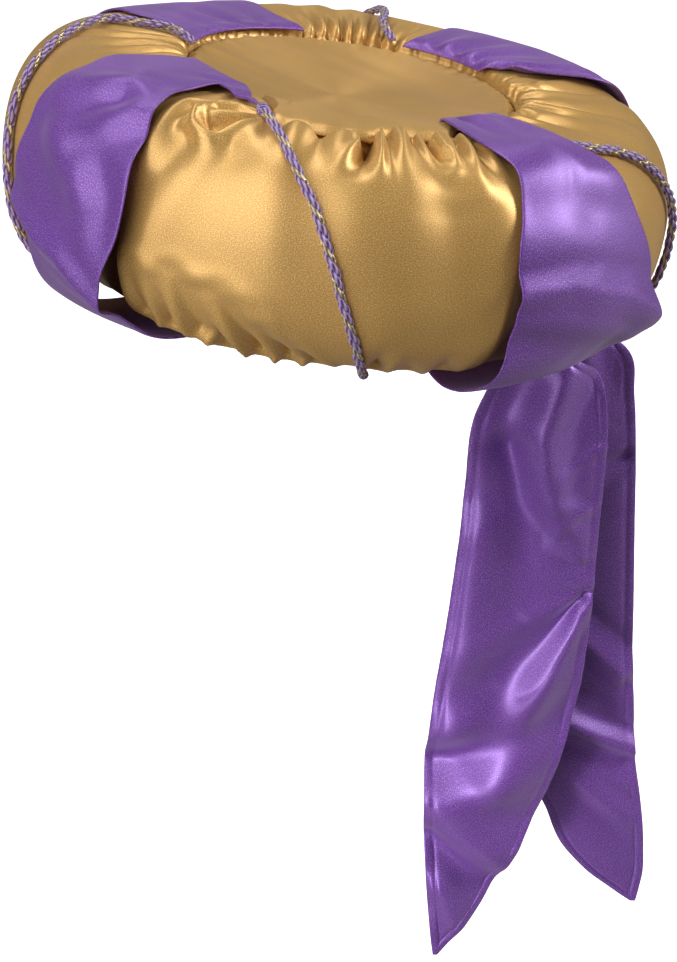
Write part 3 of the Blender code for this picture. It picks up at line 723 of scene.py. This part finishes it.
bpy.ops.mesh.normals_make_consistent(inside=False)
bpy.ops.object.mode_set(mode="OBJECT")
crown_wall = crown.modifiers.new("wall", "SOLIDIFY")
crown_wall.thickness = CROWN_WALL * MM
bpy.ops.object.modifier_apply(modifier="wall")
crown.data.materials.append(gold_satin)
bpy.ops.object.shade_smooth()
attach(crown, "root")
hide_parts("crown_disc")

# The wrap bands: four wide strips of purple satin, folded to a double layer with turned
# edges, sewn in at the crown seam and under the roll, and loose between the two seams.
BandRow = namedtuple("BandRow", "section start end start_lift end_lift end_drop", defaults=[0])
WRAP_BANDS = {
    "wrap_band_front": [
        BandRow(132, 314, 338, 0.6, 0.6),
        BandRow(118, 315, 344, 1.5, 1.0, 3),
        BandRow(108, 316, 349, 2.2, 1.2, 8),
        BandRow(104, 317, 354, 2.2, 1.2, 17),
        BandRow(101, 317, 358, 2.2, 1.2, 23),
        BandRow(98, 317, 355, 2.3, 1.4, 18),
        BandRow(96, 317, 349.5, 2.4, 1.6, 9),
        BandRow(93.5, 317, 344.5, 2.5, 2.0, 3),
        BandRow(90.5, 317, 342, 2.6, 3.0, 0),
        BandRow(75, 318, 342, 3.0, 4.0),
        BandRow(58, 318, 343, 3.0, 5.0),
        BandRow(38, 316, 344, 3.0, 6.0),
        BandRow(18, 315, 345, 3.0, 7.0),
        BandRow(-2, 315, 345, 2.5, 9.0),
        BandRow(-22, 316, 343, 2.0, 12.0),
        BandRow(-42, 319, 343, 7.5, 11.5),
        BandRow(-62, 322, 346, 8.0, 7.0),
        BandRow(-84, 325, 350, 5.5, 4.0),
        BandRow(-106, 328, 354, 0.8, 0.8),
    ],
    "wrap_band_left": [
        BandRow(132, 49, 78, 0.6, 0.6),
        BandRow(112, 47, 70, 1.5, 2.5),
        BandRow(92, 45, 65, 2.0, 5.5),
        BandRow(75, 46, 65, 3.0, 6.5),
        BandRow(58, 48, 69, 3.0, 6.0),
        BandRow(38, 48, 73, 3.0, 5.0),
        BandRow(18, 47, 76, 3.0, 5.0),
        BandRow(-2, 48, 79, 3.5, 7.0),
        BandRow(-22, 49, 82, 5.0, 12.0),
        BandRow(-42, 49, 78, 7.0, 5.0),
        BandRow(-62, 48, 77, 8.5, 4.0),
        BandRow(-84, 46, 76, 7.5, 4.0),
        BandRow(-106, 45, 74, 0.8, 0.8),
    ],
    "wrap_band_back": [
        BandRow(132, 144, 180, 0.6, 0.6),
        BandRow(112, 140, 177, 2.5, 1.0),
        BandRow(92, 128, 175, 3.0, 0.8),
        BandRow(75, 127, 173, 3.0, 0.8),
        BandRow(58, 129, 171, 3.0, 1.0),
        BandRow(38, 131, 169, 3.0, 2.0),
        BandRow(18, 133, 167, 3.0, 3.0),
        BandRow(-2, 134, 165, 4.0, 4.0),
        BandRow(-22, 135, 165, 6.0, 6.0),
        BandRow(-42, 136, 165, 8.0, 8.0),
        BandRow(-62, 136, 165, 8.0, 8.0),
        BandRow(-84, 137, 165, 5.0, 5.0),
        BandRow(-106, 138, 165, 0.8, 0.8),
    ],
    "wrap_band_right": [
        BandRow(132, 217, 282, 0.6, 0.6),
        BandRow(112, 220, 275, 0.6, 0.6),
        BandRow(92, 223, 268, 0.6, 0.6),
        BandRow(75, 225, 264, 0.8, 0.8),
        BandRow(58, 227, 262, 1.0, 1.0),
        BandRow(38, 228, 260, 2.0, 2.0),
        BandRow(18, 229, 259, 3.0, 3.0),
        BandRow(-2, 229, 259, 5.0, 5.0),
        BandRow(-22, 229, 259, 7.0, 7.0),
        BandRow(-42, 229, 259, 9.0, 9.0),
        BandRow(-62, 230, 258, 8.0, 8.0),
        BandRow(-84, 231, 257, 5.0, 5.0),
        BandRow(-106, 232, 256, 0.8, 0.8),
    ],
}
BAND_FOLDS = {
    "wrap_band_front": [
        Fold(314, -12, 326, -20, 4, 4, -3.0, -3.6, 1.1),
        Fold(326, -20, 333, -21, 4, 4, -3.6, -3.6, 1.1),
        Fold(333, -21, 343, -38, 4, 3, -3.6, -3.0, 1.1),
        Fold(334, 56, 324, 30, 5, 6, 3.6, 1.0, 1.7),
        Fold(321, 50, 334, 66, 6, 5, -1.8, -1.4),
        Fold(346, 46, 333, 20, 4.5, 8, 3.8, 0.8, 1.8),
        Fold(326, 28, 337, 6, 6, 6, -2.4, -1.6),
        Fold(317, 20, 330, -4, 8, 8, 2.4, 1.6),
        Fold(340, 14, 344, -14, 6, 6, 1.8, 0.8),
        Fold(357, 100, 336, 70, 1.8, 7, 1.6, 0.8, 1.6),
        Fold(344, 112, 328, 88, 1.6, 6, 1.6, 0.0, 1.6),
        Fold(318, -36, 342, -52, 8, 8, 2.6, 2.0),
        Fold(344, -44, 352, -80, 3, 4, 1.4, 0.6, 1.6),
    ],
    "wrap_band_left": [
        Fold(46, 58, 56, 60, 8, 8, -1.0, -1.6),
        Fold(56, 60, 60, 66, 8, 8, -1.6, -1.6),
        Fold(60, 66, 62, 52, 7, 7, -1.6, -1.6),
        Fold(62, 52, 67, 50, 7, 7, -1.6, -1.4),
        Fold(67, 50, 78, 54, 7, 8, -1.4, -0.8),
        Fold(50, 40, 60, 42, 8, 8, 1.2, 0.8),
        Fold(64, 34, 76, 26, 9, 10, 1.2, 0.8),
        Fold(46, -1, 58, 1, 4, 5, -3.6, -2.4, 1.1),
        Fold(58, 1, 72, -5, 5, 5, -2.4, -3.0, 1.1),
        Fold(72, -5, 84, -20, 5, 4, -3.0, -3.0, 1.1),
        Fold(48, -24, 72, -30, 8, 8, 3.2, 2.6),
        Fold(52, 126, 50, 80, 1.5, 6, 1.8, 0.0, 1.5),
        Fold(60, 128, 56, 76, 1.5, 7, 1.6, 0.0, 1.6),
        Fold(68, 128, 63, 84, 1.5, 5, 1.4, 0.0, 1.6),
        Fold(56, 96, 64, 80, 6, 8, -1.2, 0.0),
    ],
    "wrap_band_back": [
        Fold(142, 128, 134, 94, 1.2, 2.4, 2.5, 3.5, 1.2, 1.6),
        Fold(134, 94, 131, 40, 2.4, 4.0, 3.5, 0.5, 1.2, 1.6),
        Fold(158, 106, 160, 84, 5, 8, 3.5, 0.5),
        Fold(168, 110, 170, 70, 4, 8, 1.6, 0.0),
        Fold(148, 116, 144, 80, 3, 7, 1.8, 0.0, 1.8),
    ],
    "wrap_band_right": [
        Fold(232, 126, 230, 84, 2.5, 7, 2.0, 0.0, 1.8),
        Fold(242, 126, 244, 80, 3.0, 8, 2.6, 0.0, 1.8),
        Fold(254, 126, 252, 84, 3.0, 7, 2.0, 0.0, 1.8),
        Fold(266, 126, 260, 90, 2.0, 6, 1.8, 0.0, 1.8),
    ],
}
BAND_COLUMNS = 40
BAND_LENGTH_ROWS = 110
BAND_WALL = 1.1
BAND_BULGE = 0.8
BAND_SEAT = 0.75
BAND_CLEARANCE = 0.9
BAND_TOP_FADE = 12
BAND_UNDER_FADE = 16
BAND_MAP_WIDTH = 85
LOOSE_FOLDS = 9
LOOSE_FOLD_ROW = 5
LOOSE_FOLD_SEED = 23


def smooth_table(rows, count):
    """A table's columns at so many even steps, on a smooth curve through its rows."""
    table = np.array(rows, dtype=float)
    ends = np.vstack([table[:1], table, table[-1:]])
    at = np.linspace(0, len(table) - 1, count)
    first = np.minimum(at.astype(int), len(table) - 2)
    share = (at - first)[:, None]
    before, here, there, after = (ends[first + step] for step in range(4))
    return 0.5 * (
        2 * here
        + (there - before) * share
        + (2 * before - 5 * here + 4 * there - after) * share**2
        + (3 * here - before - 3 * there + after) * share**3
    )


def loose_folds(start, end, seed):
    """Slack, broad folds at random over a band between two azimuths."""
    draws = np.random.default_rng(seed)
    folds = []
    for _ in range(LOOSE_FOLDS):
        azimuth, section = draws.uniform(start, end), draws.uniform(-70, 100)
        to_azimuth, to_section = azimuth + draws.uniform(-9, 9), section - draws.uniform(15, 40)
        depth = draws.uniform(-0.35, 0.5)
        folds.append(Fold(azimuth, section, to_azimuth, to_section, 4, 8, depth, 0))
    return folds


def cloth_piece(piece, wall):
    """Gives a sheet its thickness and rounds its edges."""
    sheet_wall = piece.modifiers.new("wall", "SOLIDIFY")
    sheet_wall.thickness = wall * MM
    sheet_wall.offset = 0
    bpy.ops.object.modifier_apply(modifier="wall")
    edges = piece.modifiers.new("soft_edges", "SUBSURF")
    edges.levels = 1
    edges.render_levels = 1
    bpy.ops.object.modifier_apply(modifier="soft_edges")
    bpy.ops.object.shade_smooth()


# Purple satin: its second tone is the pale lavender of the painted glints
purple_satin = satin(Satin(
    "purple_satin", tone=(0.148, 0.032, 0.325), grain_tone=(0.84, 0.69, 0.91), grain=0.50, gloss=0.43,
    metallic=0.28, coat=0.08, sheen=0.22, sheen_tint=(0.88, 0.70, 0.95), bump=0.08,
))

for order, (name, band_rows) in enumerate(WRAP_BANDS.items()):
    made_name = name.replace("wrap_band", "satin_band")
    band, share_across, share_along = fresh_grid(made_name, BAND_COLUMNS, BAND_LENGTH_ROWS)
    dense = smooth_table(band_rows, 600)
    rows_down = (1 - share_along) * (len(dense) - 1)
    section, start, end, start_lift, end_lift, end_drop = (
        np.interp(rows_down, np.arange(len(dense)), dense[:, column]) for column in range(6)
    )
    wanted = length_at(section) - end_drop * share_across**2
    azimuth = start + (end - start) * share_across
    lift = start_lift + (end_lift - start_lift) * share_across
    lift += BAND_BULGE * (1 - (2 * share_across - 1) ** 2) + BAND_SEAT
    slack_row = band_rows[LOOSE_FOLD_ROW]
    folds = BAND_FOLDS[name] + loose_folds(slack_row.start, slack_row.end, LOOSE_FOLD_SEED + order)
    lines = ring_lines(folds, azimuth.mean())
    depth, slide_across, slide_along = folded(azimuth * MM_PER_DEGREE, wanted, lines)
    section = section_at(wanted)
    loose = ramp((BAND_TOP_SECTION - section) / BAND_TOP_FADE)
    loose = loose * ramp((section - BAND_UNDER_SECTION) / BAND_UNDER_FADE)
    lift = np.maximum(lift - depth * loose, BAND_CLEARANCE)
    azimuth = azimuth + slide_across / MM_PER_DEGREE
    drawn = pressed_in(azimuth, section)
    set_places(band, over_form(azimuth, wanted + slide_along, drawn, lift))
    set_cloth_map(band, share_across * BAND_MAP_WIDTH, wanted)
    band.data.materials.append(purple_satin)
    cloth_piece(band, BAND_WALL)
    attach(band, "root")
    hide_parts(name)

# The trim cords: each is three plies laid up to the right, two of purple yarn and one of
# metallic yarn. They are caught at the crown seam, lie on the gold and end underneath.
CordPoint = namedtuple("CordPoint", "azimuth section")
TRIM_CORDS = {
    "trim_cord_front": [
        CordPoint(-0.5, 87), CordPoint(2, 79), CordPoint(6, 64), CordPoint(10, 46), CordPoint(14, 28),
        CordPoint(17, 10), CordPoint(20, -6), CordPoint(23.5, -30), CordPoint(26, -54), CordPoint(28, -76),
    ],
    "trim_cord_left": [
        CordPoint(62, 92), CordPoint(66, 83), CordPoint(72, 74), CordPoint(79, 65), CordPoint(85, 52),
        CordPoint(89, 38), CordPoint(94, 18), CordPoint(97, 0), CordPoint(99, -22), CordPoint(103, -48),
        CordPoint(106, -70),
    ],
    "trim_cord_back": [
        CordPoint(184, 128), CordPoint(187, 112), CordPoint(190, 96), CordPoint(192, 80), CordPoint(195, 60),
        CordPoint(199, 36), CordPoint(203, 10), CordPoint(207, -14), CordPoint(211, -40), CordPoint(214, -64),
        CordPoint(216, -80),
    ],
    "trim_cord_right": [
        CordPoint(287, 128), CordPoint(284, 112), CordPoint(281, 100), CordPoint(282, 92), CordPoint(288, 84),
        CordPoint(296, 71), CordPoint(302, 54), CordPoint(305.5, 34), CordPoint(308, 12), CordPoint(310, -4),
        CordPoint(311.5, -22), CordPoint(312.5, -44), CordPoint(313, -64), CordPoint(313, -78),
    ],
}
CORD_SEAT = 2.7
PLY_OFFSET = 1.08
LAY_LENGTH = 17.0
TURN_STEPS = 18
PLY_SIDES = 3
KNOT_TURNS = 4
KNOT_PITCH = 1.35
KNOT_START = 3.2
KNOT_RADIUS = 1.1
KNOT_SWELL = 0.7
KNOT_PLY_RADIUS = 1.05
KNOT_STEPS = 24
KNOT_DIRECTION_STEP = 4
YARNS_ROUND = 3.0
YARNS_ALONG = 300.0

# Each yarn's tone is painted shade for the grooves between its single yarns, and its second colour a painted
# glint along their crests
Yarn = namedtuple("Yarn", "name radius tone bright metallic roughness")
YARNS = [
    Yarn("purple_yarn", 1.08, (0.060, 0.012, 0.13), (0.60, 0.42, 0.76), 0.1, 0.38),
    Yarn("metallic_yarn", 0.85, (0.25, 0.15, 0.06), (0.95, 0.84, 0.58), 0.75, 0.30),
]

# Single yarns that wind round each ply, with a painted glint along each yarn's crest and painted shade in the
# grooves between
yarn_twist = bpy.data.node_groups.new("yarn_twist", "ShaderNodeTree")
socket(yarn_twist, "Tone", "NodeSocketColor", "INPUT", (0.2, 0.1, 0.4, 1))
socket(yarn_twist, "Bright", "NodeSocketColor", "INPUT", (0.6, 0.5, 0.8, 1))
socket(yarn_twist, "Color", "NodeSocketColor", "OUTPUT")
socket(yarn_twist, "Height", "NodeSocketFloat", "OUTPUT")
nodes, links = yarn_twist.nodes, yarn_twist.links
entry = nodes.new("NodeGroupInput")
leave = nodes.new("NodeGroupOutput")
ply_uv = nodes.new("ShaderNodeUVMap")
ply_uv.uv_map = "ply"
lay = nodes.new("ShaderNodeSeparateXYZ")
links.new(ply_uv.outputs["UV"], lay.inputs["Vector"])
yarn_round = math_node(yarn_twist, "MULTIPLY", lay.outputs["X"], YARNS_ROUND)
yarn_wound = math_node(yarn_twist, "MULTIPLY_ADD", lay.outputs["Y"], YARNS_ALONG, yarn_round)
yarn_turn = math_node(yarn_twist, "MULTIPLY", yarn_wound, math.pi)
strand = math_node(yarn_twist, "ABSOLUTE", math_node(yarn_twist, "SINE", yarn_turn))
fuzz = nodes.new("ShaderNodeTexNoise")
fuzz.inputs["Scale"].default_value = 900
links.new(ply_uv.outputs["UV"], fuzz.inputs["Vector"])
strand = math_node(yarn_twist, "POWER", strand, 2.5)
shown = math_node(yarn_twist, "MULTIPLY", strand, math_node(yarn_twist, "ADD", fuzz.outputs["Fac"], 0.4))
# Painted glint and shade: the crest mask mixes from the dark groove tone to the glint colour
yarn_mix = nodes.new("ShaderNodeMix")
yarn_mix.data_type = "RGBA"
links.new(shown, yarn_mix.inputs["Factor"])
links.new(entry.outputs["Tone"], yarn_mix.inputs["A"])
links.new(entry.outputs["Bright"], yarn_mix.inputs["B"])
links.new(yarn_mix.outputs["Result"], leave.inputs["Color"])
links.new(shown, leave.inputs["Height"])

yarn_materials = []
for yarn in YARNS:
    material = bpy.data.materials.new(yarn.name)
    material.use_nodes = True
    tree = material.node_tree
    twist = tree.nodes.new("ShaderNodeGroup")
    twist.node_tree = yarn_twist
    twist.inputs["Tone"].default_value = (*yarn.tone, 1)
    twist.inputs["Bright"].default_value = (*yarn.bright, 1)
    surface = tree.nodes["Principled BSDF"]
    surface.inputs["Metallic"].default_value = yarn.metallic
    surface.inputs["Roughness"].default_value = yarn.roughness
    surface.inputs["Sheen Weight"].default_value = 0.4
    bump = tree.nodes.new("ShaderNodeBump")
    bump.inputs["Strength"].default_value = 0.8
    bump.inputs["Distance"].default_value = 0.3 * MM
    tree.links.new(twist.outputs["Height"], bump.inputs["Height"])
    tree.links.new(twist.outputs["Color"], surface.inputs["Base Color"])
    tree.links.new(bump.outputs["Normal"], surface.inputs["Normal"])
    yarn_materials.append(material)


def length_along(path):
    """How far along a path each of its points lies."""
    return np.concatenate([[0], np.cumsum(np.linalg.norm(np.diff(path, axis=0), axis=1))])


def ways_along(path, reference):
    """Unit directions ahead along a path, to its side and over it."""
    ahead = np.gradient(path, axis=0)
    ahead /= np.linalg.norm(ahead, axis=1, keepdims=True)
    side = np.cross(ahead, reference)
    side /= np.linalg.norm(side, axis=1, keepdims=True)
    return ahead, side, np.cross(side, ahead)


def even_path(places, step):
    """The same path with its points an even step apart, and how far along each lies."""
    gone = length_along(places)
    wanted = np.linspace(0, gone[-1], max(8, round(gone[-1] / step)))
    return np.stack([np.interp(wanted, gone, places[:, axis]) for axis in range(3)], axis=-1), wanted


def ply_tube(name, path, radius, material):
    """One ply as a round tube along its path, with closed ends and its own map."""
    curve = bpy.data.curves.new(name, "CURVE")
    curve.dimensions = "3D"
    curve.bevel_depth = radius
    curve.bevel_resolution = PLY_SIDES
    curve.use_fill_caps = True
    spline = curve.splines.new("POLY")
    spline.points.add(len(path) - 1)
    weighted = np.hstack([path, np.ones((len(path), 1))])
    spline.points.foreach_set("co", weighted.astype(np.float32).ravel())
    tube = bpy.data.objects.new(name, curve)
    bpy.context.scene.collection.objects.link(tube)
    bpy.ops.object.select_all(action="DESELECT")
    tube.select_set(True)
    bpy.context.view_layer.objects.active = tube
    bpy.ops.object.convert(target="MESH")
    tube = bpy.context.object
    places = vertex_places(tube)
    nearest = np.zeros(len(places), dtype=int)
    for first in range(0, len(places), 2000):
        gaps = np.linalg.norm(places[first:first + 2000, None] - path[None], axis=2)
        nearest[first:first + 2000] = gaps.argmin(axis=1)
    _, side, over = ways_along(path, (0.3, 0.2, 0.93))
    spoke = places - path[nearest]
    turn = np.arctan2((spoke * over[nearest]).sum(1), (spoke * side[nearest]).sum(1)) / (2 * np.pi)
    ply_map = tube.data.uv_layers.new(name="ply")
    ply_places = np.stack([turn, length_along(path)[nearest]], axis=-1)[corner_vertices(tube)]
    ply_map.uv.foreach_set("vector", ply_places.astype(np.float32).ravel())
    tube.data.materials.append(material)
    return tube


for name, route in TRIM_CORDS.items():
    dense = smooth_table(route, 400)
    azimuth, section = dense.T
    drawn = waisted_in(azimuth, section)
    line = over_form(azimuth, length_at(section), drawn, np.full(len(dense), CORD_SEAT))
    middle, gone = even_path(line, LAY_LENGTH / TURN_STEPS * MM)
    ahead, side, over = ways_along(middle, (0.11, 0.16, 0.98))
    plies = []
    for ply in range(3):
        angle = (2 * np.pi * (gone / (LAY_LENGTH * MM) + ply / 3))[:, None]
        path = middle + (side * np.cos(angle) + over * np.sin(angle)) * PLY_OFFSET * MM
        kind = int(ply == 2)
        plies.append(ply_tube(f"{name}_ply_{ply}", path, YARNS[kind].radius * MM, yarn_materials[kind]))
    if name == "trim_cord_front":
        wound = np.linspace(0, 2 * np.pi * KNOT_TURNS, KNOT_STEPS * KNOT_TURNS)[:, None]
        bulge = KNOT_RADIUS + KNOT_SWELL * np.sin(wound / (2 * KNOT_TURNS))
        knot_ahead, knot_side, knot_over = (way[KNOT_DIRECTION_STEP] for way in (ahead, side, over))
        spokes = (knot_side * np.cos(wound) + knot_over * np.sin(wound)) * bulge * MM
        gone_on = wound / (2 * np.pi) * KNOT_PITCH - KNOT_START
        knot_path = middle[0] + spokes + knot_ahead * gone_on * MM
        plies.append(ply_tube("front_cord_knot", knot_path, KNOT_PLY_RADIUS * MM, yarn_materials[0]))
    bpy.ops.object.select_all(action="DESELECT")
    for tube in plies:
        tube.select_set(True)
    bpy.context.view_layer.objects.active = plies[0]
    bpy.ops.object.join()
    cord = bpy.context.object
    cord.name = name.replace("trim_cord", "twisted_cord")
    bpy.ops.object.shade_smooth()
    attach(cord, "root")
    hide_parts(name)

# The two tails: long pointed strips of purple satin with narrow stitched hems, sewn under
# the roll at the wearer's left and hanging straight down, the second behind the first.
TAIL_FACING = 20.0
TailRow = namedtuple("TailRow", "height left right left_back right_back bow")
TAILS = {
    "tail_front": [
        TailRow(-12, 98.5, 102, -26, 5, 0),
        TailRow(-34, 88, 112, -19, 0, 1),
        TailRow(-54, 79, 131, -9, -2, 4),
        TailRow(-80, 71, 136, -3, -2, 6),
        TailRow(-115, 69, 136, 0, 0, 7),
        TailRow(-150, 66, 135, 1, 1, 6),
        TailRow(-190, 62, 134, 1, 1, 6),
        TailRow(-230, 57, 131, 1, 1, 6),
        TailRow(-268, 53.5, 125, 1, 1, 6),
        TailRow(-304, 52.5, 115, 1, 1, 5),
        TailRow(-336, 53.5, 102, 1, 1, 4),
        TailRow(-366, 55.5, 88, 1, 1, 3),
        TailRow(-392, 57.5, 73, 1, 1, 1),
        TailRow(-409, 59.5, 61.5, 1, 1, 0),
    ],
    "tail_back": [
        TailRow(-16, 101, 94, 12, 39, 0),
        TailRow(-36, 94, 110, 22, 36, 1),
        TailRow(-56, 91, 147, 30, 34, 4),
        TailRow(-84, 92, 153, 34, 36, 6),
        TailRow(-120, 92, 156, 36, 37, 6),
        TailRow(-160, 91, 158, 37, 38, 6),
        TailRow(-200, 90, 160, 38, 38, 6),
        TailRow(-240, 90, 162, 39, 39, 6),
        TailRow(-276, 95, 165, 39, 39, 6),
        TailRow(-306, 104, 167.5, 39, 39, 5),
        TailRow(-334, 119, 172, 39, 39, 4),
        TailRow(-360, 129, 175, 39, 39, 3),
        TailRow(-382, 146, 176, 39, 39, 1),
        TailRow(-403, 171, 173, 39, 39, 0),
    ],
}
TailFold = namedtuple("TailFold", f"x z to_x to_z {FOLD_FORM}", defaults=PLAIN_FOLD)
TAIL_FOLDS = {
    "tail_front": [
        TailFold(10, -40, 16, -110, 8, 14, 7.0, 2.0),
        TailFold(34, -36, 34, -80, 7, 8, -6.0, -6.0),
        TailFold(34, -80, 40, -116, 8, 7, -6.0, -5.0),
        TailFold(40, -116, 62, -148, 7, 5, -5.0, -1.0),
        TailFold(54, -44, 56, -92, 6, 8, 4.5, 1.0),
        TailFold(20, -92, 44, -180, 8, 12, 6.0, 1.0),
        TailFold(64, -92, 46, -104, 2.5, 3, -1.6, -1.2, 1.8),
        TailFold(46, -104, 44, -118, 3, 3, -1.2, -1.2, 1.8),
        TailFold(44, -118, 62, -128, 3, 2.5, -1.2, -1.6, 1.8),
        TailFold(64, -122, 48, -132, 2.5, 3, -1.4, -1.0, 1.8),
        TailFold(48, -132, 46, -144, 3, 3, -1.0, -1.0, 1.8),
        TailFold(46, -144, 64, -154, 3, 2.5, -1.0, -1.4, 1.8),
        TailFold(68, -170, 52, -160, 2.0, 6, -2.2, 0.0),
        TailFold(68, -176, 22, -230, 2.5, 14, 3.4, 5.0),
        TailFold(67, -182, 38, -290, 2.5, 15, -3.4, -6.0),
        TailFold(6, -140, 14, -250, 11, 14, -5.0, -5.0),
        TailFold(4, -284, 62, -250, 11, 13, 6.5, 4.0),
        TailFold(4, -300, 46, -334, 10, 13, -6.5, -5.0),
        TailFold(2, -330, 40, -366, 7, 9, 6.0, 3.0),
        TailFold(6, -360, 20, -396, 7, 6, -3.5, -2.0),
    ],
    "tail_back": [
        TailFold(10, -40, 20, -140, 6, 12, 4.0, 0.0),
        TailFold(34, -44, 40, -150, 6, 12, -4.5, 0.0),
        TailFold(58, -118, 40, -128, 4, 8, 3.0, 0.0, 1.8),
        TailFold(4, -176, 66, -246, 5, 6, -6.0, -5.0, 1.5),
        TailFold(4, -200, 66, -286, 6, 9, 6.0, 3.0, 1.8),
        TailFold(8, -256, 74, -303, 4, 5, -6.0, -5.0, 1.4),
        TailFold(22, -286, 76, -318, 7, 8, 4.0, 2.0, 1.8),
        TailFold(30, -320, 60, -372, 6, 8, -2.5, -1.0),
    ],
}
TAIL_COLUMNS = 44
TAIL_LENGTH_ROWS = 170
TAIL_WALL = 1.2
HEM_INSET = 5.0
HEM_HALF_WIDTH = 0.9
HEM_DEPTH = 1.1
STITCH_PUCKER = 0.3
STITCH_STEP = 2.3
STITCH_DRIFT_STEP = 17
STITCH_FADE = 5.0
TOP_HOLD = 20

facing = math.radians(TAIL_FACING)
across_way = np.array([math.cos(facing), math.sin(facing), 0])
behind_way = np.array([-math.sin(facing), math.cos(facing), 0])

for name, tail_rows in TAILS.items():
    made_name = name.replace("tail", "satin_tail")
    tail, share_across, share_along = fresh_grid(made_name, TAIL_COLUMNS, TAIL_LENGTH_ROWS)
    dense = smooth_table(tail_rows, 600)
    heights = dense[-1, 0] + (dense[0, 0] - dense[-1, 0]) * share_along
    left, right, left_back, right_back, bow = (
        np.interp(heights, dense[::-1, 0], dense[::-1, column]) for column in range(1, 6)
    )
    lateral = left + (right - left) * share_across
    back = left_back + (right_back - left_back) * share_across - bow * (1 - (2 * share_across - 1) ** 2)
    from_left, from_right = lateral - left, right - lateral
    lines = [((fold.x, fold.z), (fold.to_x, fold.to_z), fold) for fold in TAIL_FOLDS[name]]
    depth = folded(from_left, heights, lines)[0]
    edge_gap = np.minimum(from_left, from_right)
    hem_groove = HEM_DEPTH * np.exp(-(((edge_gap - HEM_INSET) / HEM_HALF_WIDTH) ** 2))
    stitches = np.sin(heights / STITCH_STEP + 2 * np.sin(heights / STITCH_DRIFT_STEP))
    stitch_pucker = STITCH_PUCKER * stitches * np.exp(-edge_gap / STITCH_FADE)
    top_hold = ramp((dense[0, 0] - heights) / TOP_HOLD)
    back = back + (depth + hem_groove + stitch_pucker) * top_hold
    places = (lateral[:, None] * across_way + back[:, None] * behind_way) * MM
    places[:, 2] = heights * MM
    set_places(tail, places)
    set_cloth_map(tail, from_left, heights)
    tail.data.materials.append(purple_satin)
    cloth_piece(tail, TAIL_WALL)
    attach(tail, "root")
    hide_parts(name)
